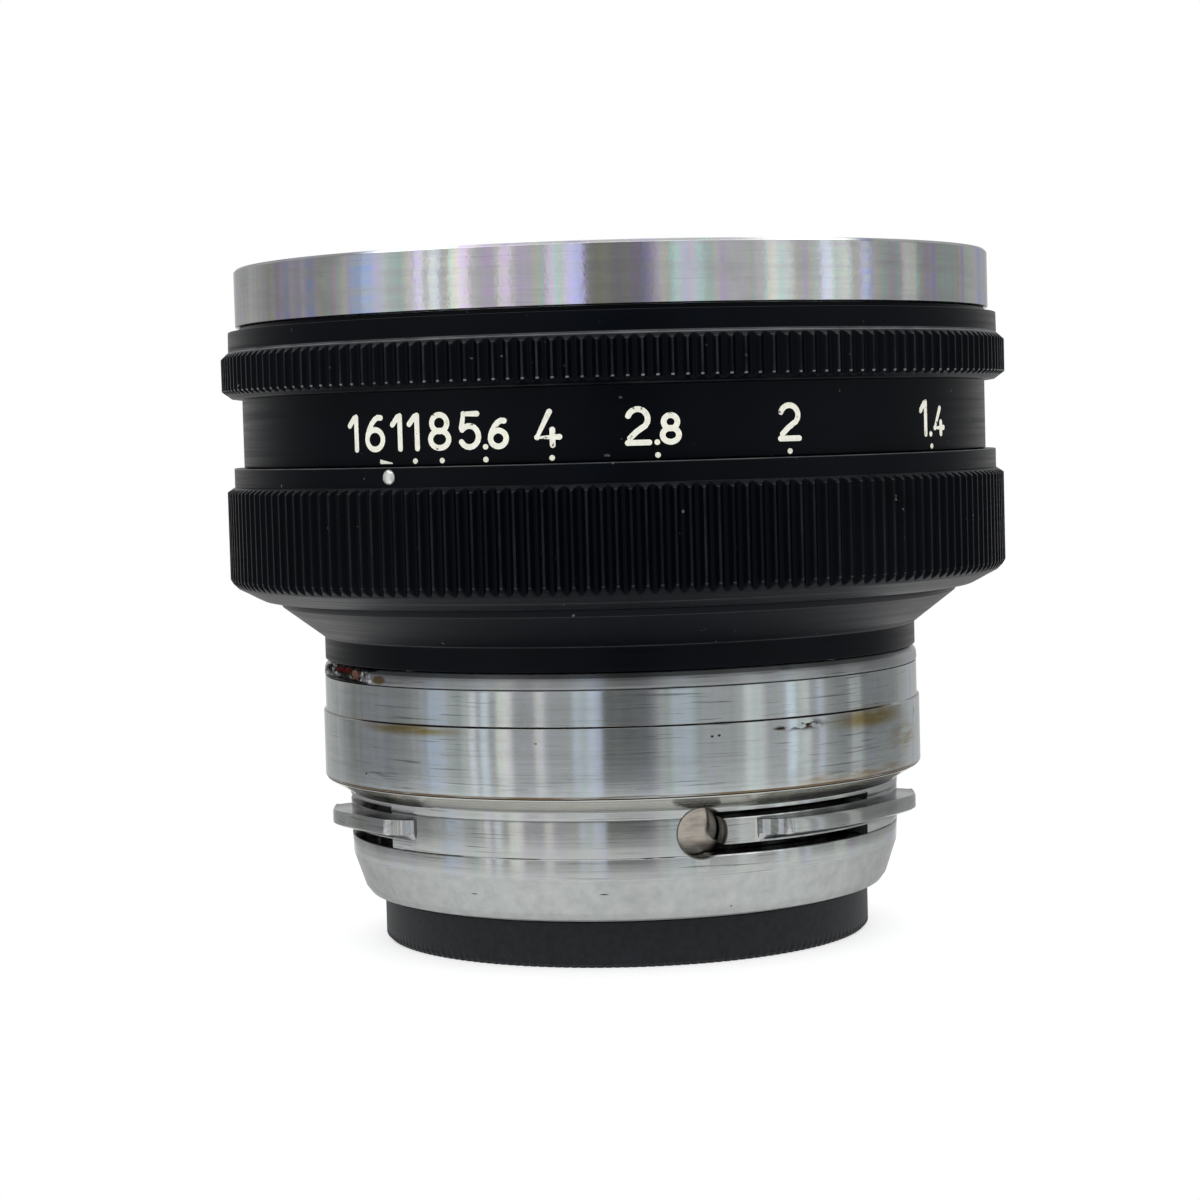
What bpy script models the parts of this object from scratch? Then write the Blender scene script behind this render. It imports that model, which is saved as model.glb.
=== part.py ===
"""Prime camera lens: 50 mm f/1.4 class, for a camera with an internal three-lug bayonet.

The lens stands on its rear end. +Z is the optical axis and points to the front; the origin is
the middle of the rear end. Azimuths are degrees round +Z from -Y, growing towards +X.
It rests at f/16: the aperture ring is at the end of its travel and the iris is nearly closed.
Dimensions are in millimetres and are turned into metres when a mesh is made.
"""
import math

import bmesh
import bpy
from mathutils import Matrix, Vector

MM = 0.001

# ---- driving dimensions: radii (R) and heights (Z) ----------------------------------------
LENGTH = 40.3
GAP = 0.05

RIM_R = 22.52
RIM_REAR_Z = 36.72
RIM_BORE_R = 20.95
FILTER_RECESS_R = 21.45
FILTER_RECESS_Z = 37.45
RETAINER_R = 21.35
RETAINER_BORE_R = 18.05
RETAINER_REAR_Z = 34.95

RING_BAND_R = 22.3
RING_BAND_FRONT_Z = 32.6
RING_KNURL_R = 23.5
RING_KNURL_Z = (33.1, 35.1)
RING_STEP_R = 23.05
RING_BORE_R = 21.0
RING_REAR_Z = 28.68
RING_FRONT_Z = 36.62
RING_TRAVEL = 86.4
SKIRT_R = 20.4
SKIRT_BORE_R = 19.6
SKIRT_Z = (21.5, 32.85)

GRIP_R = 23.35
GRIP_REAR_Z = 20.65
GRIP_FRONT_Z = 28.55
GRIP_BORE_R = 20.8
GRIP_FOOT_R = 21.45
GRIP_FOOT_BORE_R = 19.3
GRIP_FLOOR_Z = 21.3
INDEX_BAND_R = 22.9
INDEX_BAND_REAR_Z = 27.43
INDEX_AZIMUTH = -32.35
INDEX_Z = 27.98
INDEX_DIMPLE_R = 0.45

HOUSING_R = 17.8
HOUSING_FRONT_R = 20.5
HOUSING_BORE_R = 15.6
HOUSING_Z = (17.0, 20.6)
HOUSING_WALL = 0.4
COLLAR_R = 17.92
COLLAR_BORE_R = 15.65
COLLAR_Z = (16.05, 16.9)
MARK_FLAT_R = 17.42
MARK_FLAT_AZIMUTH = -66

MOUNT_R = 18.0
MOUNT_STEP_R = 17.85
MOUNT_BORE_R = 16.15
MOUNT_REAR_Z = 10.0
MOUNT_STEP_Z = 13.9
MOUNT_FRONT_Z = 16.0
MOUNT_FLOOR_Z = (12.6, 14.4)
SPIGOT_R = 14.95
SPIGOT_BORE_R = 14.3
SPIGOT_REAR_Z = 4.9

SLEEVE_R = 16.45
SLEEVE_REAR_R = 14.85
SLEEVE_BORE_R = 15.15
SLEEVE_NECK_R = 16.05
SLEEVE_LIP_BORE_R = 12.9
SLEEVE_REAR_Z = 2.7
SLEEVE_FRONT_Z = 12.4

REAR_GUARD_R = 14.65
REAR_GUARD_BORE_R = 10.7
REAR_GUARD_FLOOR_Z = 0.85
CELL_R = 12.75
CELL_BORE_R = 10.9
CELL_LIP_BORE_R = 9.8
CELL_REAR_Z = 0.95
CELL_FLANGE_R = 15.55
CELL_FLANGE_Z = (14.9, 16.9)

# ---- bayonet tongues and lugs -------------------------------------------------------------
LUG_R = 17.7
LUG_Z = (7.42, 8.3)
LUG_ROOT = 0.6
LUG_RAMP = 5.5
TONGUE_HOLE_Z = 7.72
TONGUE_HOLE_R = 1.42
TONGUE_SLOTS_Z = ((6.43, 6.99), (8.46, 8.85))
TONGUE_SPAN = 43.3
# azimuths: free end of the tongue, low end of the lug, high end of the lug, ramp of the lug
TONGUES = (
    (15.1, 25.7, 92.0, "low"),
    (-97.5, -92.0, -46.3, "high"),
    (135.1, 145.7, 212.0, "low"),
)
CUT_R = (13.5, 19.0)

# ---- iris ---------------------------------------------------------------------------------
BLADES = 15
PIVOT_R = 14.0
BLADE_INNER_R = 10.7
BLADE_OUTER_R = 13.5
BLADE_ARC = 141.0
BLADE_STEPS = 10
BLADE_THICKNESS = 0.07
BLADE_PITCH = 0.11
BLADE_BASE_Z = 18.62
BLADE_SWING = 41.0
STUD_R = 0.35
STUD_SIDES = 8
DRIVE_PIN_ANGLE = 180 + RING_TRAVEL / 2
IRIS_OPEN_R = 10.25
IRIS_PLATE_R = 14.55
IRIS_PLATE_Z = (17.6, 18.5)
IRIS_RETAINER_BORE_R = 12.6
IRIS_RETAINER_Z = (17.05, 17.55)
CAM_RING_Z = (20.35, 20.95, 23.0)
CAM_COLLAR_BORE_R = 13.3
CAM_SLOT = (2.5, 0.7, 1.0)
CAM_SLOT_R = 11.8

# ---- screws -------------------------------------------------------------------------------
DRIVE_SCREW_AZIMUTH = 120.0
DRIVE_SCREW_Z = 22.3
DRIVE_SCREW_R = 0.45
MOUNT_SCREWS = 4
MOUNT_SCREW_CIRCLE_R = 16.75
MOUNT_SCREW_R = 0.35
SCREW_CLEARANCE = 0.07

# ---- barrel and glass ---------------------------------------------------------------------
BARREL_CHAMBER_R = 14.7
BARREL_WALL_R = 15.5
BARREL_MOUTH_R = 19.7
BARREL_RIM_R = 20.8
BARREL_SLOT_HALF_HEIGHT = 0.6
# front vertex and radius of curvature, rear vertex and radius of curvature, half width
ELEMENTS = (
    (39.4, 38.0, 35.2, 130.0, 18.4),
    (34.9, 22.0, 29.7, 60.0, 15.2),
    (29.7 - GAP, 60.0, 26.7, -150.0, 14.0),
    (26.7 - GAP, -150.0, 25.3, 15.0, 12.0),
    (16.9, 95.0, 15.6, 14.0, 10.8),
    (15.6 - GAP, 14.0, 5.2, -22.0, 10.8),
    (5.2 - GAP, -22.0, 1.8, -50.0, 10.8),
)
HOLLOW_ELEMENT = 4
HOLLOW_R = 10.3

SIDES = 40
GLASS_SIDES = 32
GLASS_STEPS = 3
SMALL_SIDES = 10
SMOOTH_ANGLE = math.radians(32)


# ---- helpers ------------------------------------------------------------------------------
def clear_scene():
    for item in list(bpy.data.objects):
        bpy.data.objects.remove(item, do_unlink=True)


def make_material(name, colour, roughness, metallic):
    material = bpy.data.materials.new(name)
    material.use_nodes = True
    shader = material.node_tree.nodes["Principled BSDF"]
    shader.inputs["Base Color"].default_value = (*colour, 1.0)
    shader.inputs["Roughness"].default_value = roughness
    shader.inputs["Metallic"].default_value = metallic
    material.diffuse_color = (*colour, 1.0)
    return material


def from_azimuth(azimuth, radius, height=0.0):
    """The point at an azimuth in degrees from -Y towards +X."""
    angle = math.radians(azimuth)
    return Vector((radius * math.sin(angle), -radius * math.cos(angle), height)) * MM


def radial_frame(azimuth, radius, height):
    """A frame at a point of the barrel whose local +Z points radially outwards."""
    outwards = from_azimuth(azimuth, 1.0).normalized()
    turn = Vector((0, 0, 1)).rotation_difference(outwards).to_matrix().to_4x4()
    return Matrix.Translation(from_azimuth(azimuth, radius, height)) @ turn


def finish(name, bm, material, location=(0, 0, 0), turn_z=0.0):
    bmesh.ops.remove_doubles(bm, verts=bm.verts, dist=1e-7)
    bmesh.ops.recalc_face_normals(bm, faces=bm.faces)
    mesh = bpy.data.meshes.new(name)
    bm.to_mesh(mesh)
    bm.free()
    mesh.shade_smooth()
    mesh.set_sharp_from_angle(angle=SMOOTH_ANGLE)
    mesh.materials.append(material)
    item = bpy.data.objects.new(name, mesh)
    item.location = location
    item.rotation_euler = (0, 0, turn_z)
    bpy.context.scene.collection.objects.link(item)
    return item


def outline_verts(bm, outline):
    return [bm.verts.new((radius * MM, 0.0, height * MM)) for radius, height in outline]


def turned_mesh(outline, sides, closed=True):
    """Turn an outline of (radius, height) points round the Z axis."""
    bm = bmesh.new()
    verts = outline_verts(bm, outline)
    pairs = list(zip(verts, verts[1:]))
    if closed:
        pairs.append((verts[-1], verts[0]))
    edges = [bm.edges.new(pair) for pair in pairs]
    bmesh.ops.spin(bm, geom=verts + edges, cent=(0, 0, 0), axis=(0, 0, 1), angle=math.tau,
                   steps=sides, use_merge=True)
    return bm


def turned(name, outline, material, sides=SIDES):
    return finish(name, turned_mesh(outline, sides), material)


def sector(name, outline, start, end, material, steps=4):
    """Sweep a closed outline round the Z axis from one azimuth to another."""
    bm = bmesh.new()
    face = bm.faces.new(outline_verts(bm, outline))
    bmesh.ops.rotate(bm, verts=bm.verts, matrix=Matrix.Rotation(math.radians(start - 90), 3, "Z"))
    bmesh.ops.spin(bm, geom=[face], cent=(0, 0, 0), axis=(0, 0, 1),
                   angle=math.radians(end - start), steps=steps)
    return finish(name, bm, material)


def rod(name, radius, start, end, material, frame, sides=SMALL_SIDES):
    """A round bar from start to end along the local +Z of a frame."""
    bm = bmesh.new()
    bmesh.ops.create_cone(bm, cap_ends=True, segments=sides, radius1=radius * MM,
                          radius2=radius * MM, depth=(end - start) * MM)
    bmesh.ops.translate(bm, verts=bm.verts, vec=(0, 0, (start + end) / 2 * MM))
    bmesh.ops.transform(bm, verts=bm.verts, matrix=frame)
    return finish(name, bm, material)


def stepped_rod_mesh(steps, sides=SMALL_SIDES):
    """A round bar along +Z from (radius, height) steps, such as a screw's shank and head."""
    outline = [(0.0, steps[0][1]), *steps, (0.0, steps[-1][1])]
    return turned_mesh(outline, sides, closed=False)


def block_mesh(size, place, turn_z):
    """A box of one size, moved to a place and then turned round the optical axis."""
    bm = bmesh.new()
    bmesh.ops.create_cube(bm, size=1.0)
    bmesh.ops.scale(bm, verts=bm.verts, vec=Vector(size) * MM)
    bmesh.ops.translate(bm, verts=bm.verts, vec=Vector(place) * MM)
    bmesh.ops.rotate(bm, verts=bm.verts, matrix=Matrix.Rotation(turn_z, 3, "Z"))
    return bm


def as_guide(item):
    item.hide_render = True
    item.display_type = "WIRE"
    return item


def boolean(item, tool, operation="DIFFERENCE"):
    modifier = item.modifiers.new(f"{operation.lower()}_{tool.name}", "BOOLEAN")
    modifier.operation = operation
    modifier.solver = "EXACT"
    modifier.object = as_guide(tool)


# ---- front end ----------------------------------------------------------------------------
def make_front_rim(material):
    outline = [
        (RIM_R, RIM_REAR_Z),
        (RIM_R, LENGTH - 0.33),
        (RIM_R - 0.5, LENGTH),
        (FILTER_RECESS_R + 0.15, LENGTH),
        (FILTER_RECESS_R, LENGTH - 0.2),
        (FILTER_RECESS_R, FILTER_RECESS_Z),
        (RIM_BORE_R, FILTER_RECESS_Z),
        (RIM_BORE_R, RIM_REAR_Z),
    ]
    turned("front_rim", outline, material)


def make_front_retaining_ring(material):
    """The ring in front of the first element, a cone that widens towards the filter thread."""
    nose_r = BARREL_MOUTH_R - 0.15
    outline = [
        (RETAINER_BORE_R, RETAINER_REAR_Z),
        (nose_r, RETAINER_REAR_Z),
        (nose_r, 36.25),
        (RIM_BORE_R - GAP, 37.3),
        (RIM_BORE_R - GAP, FILTER_RECESS_Z + GAP),
        (RETAINER_R, FILTER_RECESS_Z + GAP),
        (RETAINER_R, 38.2),
        (RETAINER_BORE_R + 0.3, 35.9),
    ]
    turned("front_retaining_ring", outline, material)


# ---- aperture ring ------------------------------------------------------------------------
def make_aperture_ring(material):
    """The ring with the f-numbers, and the skirt under the grip that carries the drive screw."""
    outline = [
        (RING_BAND_R, RING_REAR_Z),
        (RING_BAND_R, RING_BAND_FRONT_Z),
        (RING_KNURL_R - 0.6, RING_BAND_FRONT_Z + 0.06),
        (RING_KNURL_R, RING_KNURL_Z[0]),
        (RING_KNURL_R, RING_KNURL_Z[1]),
        (RING_STEP_R, RING_KNURL_Z[1] + 0.3),
        (RING_STEP_R - 0.02, RING_FRONT_Z),
        (RING_BORE_R, RING_FRONT_Z),
        (RING_BORE_R, SKIRT_Z[1]),
        (SKIRT_BORE_R, SKIRT_Z[1]),
        (SKIRT_BORE_R, SKIRT_Z[0]),
        (SKIRT_R, SKIRT_Z[0]),
        (SKIRT_R, RING_REAR_Z),
    ]
    ring = turned("aperture_ring", outline, material)
    frame = radial_frame(DRIVE_SCREW_AZIMUTH, 0, DRIVE_SCREW_Z)
    boolean(ring, rod("cut_skirt_hole", DRIVE_SCREW_R + 0.08, SKIRT_BORE_R - 1.1, SKIRT_R + 1.1,
                      material, frame))


def make_drive_screw(material):
    head_r, head_foot = 0.8, SKIRT_R + GAP
    steps = [(DRIVE_SCREW_R, CAM_COLLAR_BORE_R + 0.1), (DRIVE_SCREW_R, head_foot),
             (head_r, head_foot), (head_r, head_foot + 0.21)]
    bm = stepped_rod_mesh(steps)
    frame = radial_frame(DRIVE_SCREW_AZIMUTH, 0, DRIVE_SCREW_Z)
    bmesh.ops.transform(bm, verts=bm.verts, matrix=frame)
    finish("aperture_drive_screw", bm, material)


# ---- fixed grip and index -----------------------------------------------------------------
def make_grip_ring(material):
    outline = [
        (GRIP_FOOT_BORE_R, GRIP_REAR_Z),
        (GRIP_FOOT_R, GRIP_REAR_Z),
        (GRIP_R - 0.95, GRIP_REAR_Z + 0.5),
        (GRIP_R - 0.25, GRIP_REAR_Z + 0.95),
        (GRIP_R, GRIP_REAR_Z + 1.25),
        (GRIP_R, INDEX_BAND_REAR_Z - 0.28),
        (INDEX_BAND_R, INDEX_BAND_REAR_Z),
        (INDEX_BAND_R, GRIP_FRONT_Z),
        (GRIP_BORE_R, GRIP_FRONT_Z),
        (GRIP_BORE_R, GRIP_FLOOR_Z),
        (GRIP_FOOT_BORE_R, GRIP_FLOOR_Z),
    ]
    grip = turned("grip_ring", outline, material)
    frame = radial_frame(INDEX_AZIMUTH, 0, INDEX_Z)
    boolean(grip, rod("cut_index_dimple", INDEX_DIMPLE_R, INDEX_BAND_R - 0.6, INDEX_BAND_R + 1.1,
                      material, frame))


def make_index_bead(material):
    """The domed bead that the f-numbers are read against."""
    bead_r = INDEX_DIMPLE_R - 0.07
    steps = [(bead_r, INDEX_BAND_R - 0.54), (bead_r, INDEX_BAND_R - 0.04),
             (bead_r - 0.08, INDEX_BAND_R + 0.06), (0.15, INDEX_BAND_R + 0.12)]
    bm = stepped_rod_mesh(steps)
    bmesh.ops.transform(bm, verts=bm.verts, matrix=radial_frame(INDEX_AZIMUTH, 0, INDEX_Z))
    finish("index_bead", bm, material)


def make_rear_housing(material):
    """The black cylinder and cone behind the grip, with the floor that the screws clamp."""
    rear, front = HOUSING_Z
    floor = rear + 1.05
    outline = [
        (HOUSING_BORE_R, rear),
        (HOUSING_R, rear),
        (HOUSING_R, rear + 1.4),
        (HOUSING_FRONT_R - 0.35, front - 0.4),
        (HOUSING_FRONT_R, front),
        (HOUSING_FRONT_R - 1.5, front),
        (HOUSING_R - HOUSING_WALL, rear + 1.8),
        (HOUSING_R - HOUSING_WALL, floor),
        (HOUSING_BORE_R, floor),
    ]
    housing = turned("rear_housing", outline, material)
    cut_mount_screw_holes(housing, rear - 0.5, floor + 0.95, material)


# ---- mount --------------------------------------------------------------------------------
def cut_mount_screw_holes(item, low, high, material):
    for number in range(MOUNT_SCREWS):
        frame = Matrix.Translation(mount_screw_place(number))
        boolean(item, rod(f"cut_{item.name}_{number + 1}", MOUNT_SCREW_R + SCREW_CLEARANCE, low,
                          high, material, frame))


def mount_screw_place(number):
    return from_azimuth(45 + 360 / MOUNT_SCREWS * number, MOUNT_SCREW_CIRCLE_R)


def make_mount_collar(material):
    """The thin ring under the black housing, with the flat milled for the mounting mark."""
    rear, front = COLLAR_Z
    outline = [(COLLAR_BORE_R, rear), (COLLAR_R, rear), (COLLAR_R, front), (COLLAR_BORE_R, front)]
    collar = turned("mount_collar", outline, material)
    cut_mount_screw_holes(collar, rear - 0.55, front + 0.6, material)
    depth = 2.0
    place = (0, -MARK_FLAT_R - depth / 2, front - 0.25)
    cutter = block_mesh((14.0, depth, 1.2), place, math.radians(MARK_FLAT_AZIMUTH))
    boolean(collar, finish("cut_mark_flat", cutter, material))


def make_mount_ring(material):
    """The ring behind the collar; its inner spigot is the tube seen behind the tongues."""
    outline = [
        (MOUNT_BORE_R, MOUNT_REAR_Z),
        (MOUNT_R, MOUNT_REAR_Z),
        (MOUNT_R, MOUNT_STEP_Z),
        (MOUNT_STEP_R, MOUNT_STEP_Z + 0.1),
        (MOUNT_STEP_R, MOUNT_FRONT_Z),
        (MOUNT_BORE_R, MOUNT_FRONT_Z),
        (MOUNT_BORE_R, MOUNT_FLOOR_Z[1]),
        (SPIGOT_BORE_R, MOUNT_FLOOR_Z[1]),
        (SPIGOT_BORE_R, SPIGOT_REAR_Z),
        (SPIGOT_R, SPIGOT_REAR_Z),
        (SPIGOT_R, MOUNT_FLOOR_Z[0]),
        (MOUNT_BORE_R, MOUNT_FLOOR_Z[0]),
    ]
    ring = turned("mount_ring", outline, material)
    cut_mount_screw_holes(ring, MOUNT_FLOOR_Z[1] + GAP, MOUNT_FRONT_Z + 1, material)


def make_mount_screws(material):
    head_r, head_foot = 0.55, HOUSING_Z[0] + 1.1
    steps = [(MOUNT_SCREW_R, MOUNT_FLOOR_Z[1] + 0.1), (MOUNT_SCREW_R, head_foot),
             (head_r, head_foot), (head_r, head_foot + 0.5)]
    for number in range(MOUNT_SCREWS):
        item = finish(f"mount_screw_{number + 1}", stepped_rod_mesh(steps), material)
        item.location = mount_screw_place(number)


def make_bayonet_sleeve(material):
    """The sleeve that enters the camera: a turned tube with three sprung tongues and lugs."""
    outline = [
        (SLEEVE_LIP_BORE_R, SLEEVE_REAR_Z),
        (SLEEVE_REAR_R, SLEEVE_REAR_Z),
        (SLEEVE_REAR_R + 0.55, SLEEVE_REAR_Z + 0.2),
        (SLEEVE_REAR_R + 0.83, SLEEVE_REAR_Z + 0.6),
        (SLEEVE_R - 0.1, 5.3),
        (SLEEVE_R, 8.57),
        (SLEEVE_R + 0.15, MOUNT_REAR_Z - 0.5),
        (MOUNT_R, MOUNT_REAR_Z - GAP),
        (SLEEVE_NECK_R, MOUNT_REAR_Z - GAP),
        (SLEEVE_NECK_R, SLEEVE_FRONT_Z),
        (SLEEVE_BORE_R, SLEEVE_FRONT_Z),
        (SLEEVE_BORE_R, 4.6),
        (SLEEVE_LIP_BORE_R, 4.3),
    ]
    sleeve = turned("bayonet_sleeve", outline, material)
    for number, (_, *lug) in enumerate(TONGUES, 1):
        boolean(sleeve, make_lug(f"add_lug_{number}", *lug, material), "UNION")
    inside, outside = CUT_R
    for number, (free_end, *_) in enumerate(TONGUES, 1):
        for side, (bottom, top) in enumerate(TONGUE_SLOTS_Z, 1):
            slot = [(inside, bottom), (outside, bottom), (outside, top), (inside, top)]
            boolean(sleeve, sector(f"cut_slot_{number}_{side}", slot, free_end,
                                   free_end + TONGUE_SPAN, material))
        frame = radial_frame(free_end, 0, TONGUE_HOLE_Z)
        boolean(sleeve, rod(f"cut_tongue_hole_{number}", TONGUE_HOLE_R, inside, outside, material,
                            frame))


def make_lug(name, low, high, ramp, material):
    """A lug round the sleeve, with a bevelled underside and a ramp at one end."""
    foot_r = SLEEVE_R - LUG_ROOT
    section = [(foot_r, LUG_Z[0] - 0.5), (SLEEVE_R, LUG_Z[0] - 0.42), (LUG_R, LUG_Z[0]),
               (LUG_R, LUG_Z[1]), (foot_r, LUG_Z[1])]
    lug = sector(name, section, low, high, material, steps=12)
    ramp_low, ramp_high = (low, low + LUG_RAMP) if ramp == "low" else (high, high - LUG_RAMP)
    for vert in lug.data.vertices:
        azimuth = math.degrees(math.atan2(vert.co.x, -vert.co.y)) % 360
        past = abs((azimuth - ramp_low + 180) % 360 - 180)
        radius = math.hypot(vert.co.x, vert.co.y)
        limit = (SLEEVE_R + 0.1 + (LUG_R - SLEEVE_R) * past / LUG_RAMP) * MM
        if radius > limit:
            vert.co.x *= limit / radius
            vert.co.y *= limit / radius
    return lug


# ---- rear group ---------------------------------------------------------------------------
def make_rear_guard_ring(material):
    seat_r, front = SLEEVE_LIP_BORE_R - GAP, SLEEVE_REAR_Z - 0.06
    outline = [
        (REAR_GUARD_BORE_R + 0.3, 0.0),
        (REAR_GUARD_R - 0.4, 0.0),
        (REAR_GUARD_R, 0.4),
        (REAR_GUARD_R, front),
        (seat_r, front),
        (seat_r, REAR_GUARD_FLOOR_Z),
        (REAR_GUARD_BORE_R, REAR_GUARD_FLOOR_Z),
        (REAR_GUARD_BORE_R, 0.3),
    ]
    turned("rear_guard_ring", outline, material)


def make_rear_cell(material):
    """The tube round the rear group; its flange is clamped in front of the mount ring."""
    outline = [
        (CELL_LIP_BORE_R, CELL_REAR_Z),
        (CELL_R, CELL_REAR_Z),
        (CELL_R, CELL_FLANGE_Z[0] - 0.2),
        (CELL_FLANGE_R, CELL_FLANGE_Z[0]),
        (CELL_FLANGE_R, CELL_FLANGE_Z[1]),
        (CELL_BORE_R, CELL_FLANGE_Z[1]),
        (CELL_BORE_R, 2.85),
        (CELL_LIP_BORE_R, 2.65),
    ]
    turned("rear_cell", outline, material)


def make_rear_group_retainer(material):
    outer_r, front = CELL_BORE_R - 0.1, CELL_FLANGE_Z[1] + GAP
    outline = [(9.95, 16.45), (outer_r, 16.36), (outer_r, front), (9.95, front)]
    turned("rear_group_retainer", outline, material, GLASS_SIDES)


# ---- barrel -------------------------------------------------------------------------------
def make_inner_barrel(material):
    """The tube that holds the front glass and the iris, slotted for the drive screw."""
    outline = [
        (BARREL_MOUTH_R, 36.2),
        (BARREL_RIM_R, 37.05),
        (BARREL_RIM_R, 33.0),
        (19.2, 33.0),
        (19.2, 24.0),
        (BARREL_WALL_R, 24.0),
        (BARREL_WALL_R, 17.0),
        (BARREL_CHAMBER_R, 17.0),
        (BARREL_CHAMBER_R, 23.3),
        (12.3, 23.3),
        (12.3, 27.1),
        (14.1, 27.1),
        (14.1, 27.6),
        (15.3, 27.6),
        (15.3, 31.9),
        (17.2, 31.9),
        (17.2, 33.8),
        (18.5, 33.8),
        (18.5, 34.85),
        (BARREL_MOUTH_R, 34.85),
    ]
    barrel = turned("inner_barrel", outline, material)
    margin = math.degrees((DRIVE_SCREW_R + 0.15) / BARREL_CHAMBER_R)
    inside, outside = BARREL_CHAMBER_R - 0.7, BARREL_WALL_R + 1
    bottom, top = DRIVE_SCREW_Z - BARREL_SLOT_HALF_HEIGHT, DRIVE_SCREW_Z + BARREL_SLOT_HALF_HEIGHT
    slot = [(inside, bottom), (outside, bottom), (outside, top), (inside, top)]
    boolean(barrel, sector("cut_drive_slot", slot, DRIVE_SCREW_AZIMUTH - RING_TRAVEL - margin,
                           DRIVE_SCREW_AZIMUTH + margin, material, steps=6))


def make_element_spacer(material):
    outline = [(14.8, 29.5), (15.2, 29.0), (15.2, 32.0), (17.1, 32.0), (17.1, 33.2),
               (16.0, 33.2), (14.8, 32.4)]
    turned("element_spacer", outline, material)


# ---- glass --------------------------------------------------------------------------------
def glass_surface(vertex_z, curvature_r, semi):
    """Points of a spherical surface, from the axis out to its edge."""
    points = []
    for step in range(GLASS_STEPS + 1):
        radius = semi * step / GLASS_STEPS
        sag = abs(curvature_r) - math.sqrt(curvature_r ** 2 - radius ** 2)
        points.append((radius, vertex_z - math.copysign(sag, curvature_r)))
    return points


def make_element(number, front_z, front_curve, rear_z, rear_curve, half_width, material):
    """A lens element; a positive radius of curvature bends the surface rearwards."""
    outline = glass_surface(front_z, front_curve, half_width)
    if number == HOLLOW_ELEMENT:
        rear_points = glass_surface(rear_z, rear_curve, HOLLOW_R)
        outline.append((half_width, rear_points[-1][1]))
    else:
        rear_points = glass_surface(rear_z, rear_curve, half_width)
    outline.extend(reversed(rear_points))
    bm = turned_mesh(outline, GLASS_SIDES, closed=False)
    finish(f"lens_element_{number}", bm, material)


def make_glass(material):
    for number, dimensions in enumerate(ELEMENTS, 1):
        make_element(number, *dimensions, material)


# ---- iris ---------------------------------------------------------------------------------
def polar(radius, degrees):
    angle = math.radians(degrees)
    return Vector((radius * math.cos(angle), radius * math.sin(angle)))


def blade_outline():
    """A crescent round (-PIVOT_R, 0), with its pivot ear round (0, 0)."""
    centre = Vector((-PIVOT_R, 0))
    middle_r = (BLADE_INNER_R + BLADE_OUTER_R) / 2
    half_width = (BLADE_OUTER_R - BLADE_INNER_R) / 2
    ear = [polar(0.6, angle) for angle in (-110, -60, 0, 60, 110)]
    outer = [centre + polar(BLADE_OUTER_R, 3 + (BLADE_ARC - 3) * step / BLADE_STEPS)
             for step in range(BLADE_STEPS + 1)]
    tip_centre = centre + polar(middle_r, BLADE_ARC)
    tip = [tip_centre + polar(half_width, BLADE_ARC + angle) for angle in (45, 90, 135)]
    inner = [centre + polar(BLADE_INNER_R, BLADE_ARC * (1 - step / BLADE_STEPS))
             for step in range(BLADE_STEPS + 1)]
    heel = [centre + polar(middle_r, -2.5)]
    return ear + outer + tip + inner + heel


def make_blade(number, material):
    """A blade with its stud, which reaches down through the free ring to the base plate."""
    height = BLADE_BASE_Z + BLADE_PITCH * number
    bm = bmesh.new()
    face = bm.faces.new([bm.verts.new((point.x * MM, point.y * MM, 0))
                         for point in blade_outline()])
    top = bmesh.ops.extrude_face_region(bm, geom=[face])["geom"]
    top_verts = [item for item in top if isinstance(item, bmesh.types.BMVert)]
    bmesh.ops.translate(bm, verts=top_verts, vec=(0, 0, BLADE_THICKNESS * MM))
    azimuth = 360 / BLADES * number
    place = Vector((*polar(PIVOT_R, azimuth), height)) * MM
    blade = finish(f"iris_blade_{number + 1:02d}", bm, material, place,
                   math.radians(azimuth + BLADE_SWING))
    foot = IRIS_PLATE_Z[0] + 0.15 - height
    stud = rod(f"add_stud_{number + 1:02d}", STUD_R, foot, BLADE_THICKNESS / 2, material,
               Matrix.Translation(place), sides=STUD_SIDES)
    boolean(blade, stud, "UNION")


def make_iris_base_plate(material):
    rear, front = IRIS_PLATE_Z
    outline = [(IRIS_OPEN_R, rear), (IRIS_PLATE_R, rear), (IRIS_PLATE_R, front),
               (IRIS_OPEN_R, front)]
    plate = turned("iris_base_plate", outline, material)
    for number in range(BLADES):
        place = Vector((*polar(PIVOT_R, 360 / BLADES * number), 0)) * MM
        boolean(plate, rod(f"cut_pivot_{number + 1:02d}", STUD_R + 0.07, rear - 0.6, front + 0.5,
                           material, Matrix.Translation(place), sides=STUD_SIDES))


def make_iris_retaining_ring(material):
    rear, front = IRIS_RETAINER_Z
    outline = [(IRIS_RETAINER_BORE_R, rear), (IRIS_PLATE_R, rear), (IRIS_PLATE_R, front),
               (IRIS_RETAINER_BORE_R, front)]
    turned("iris_retaining_ring", outline, material)


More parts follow.
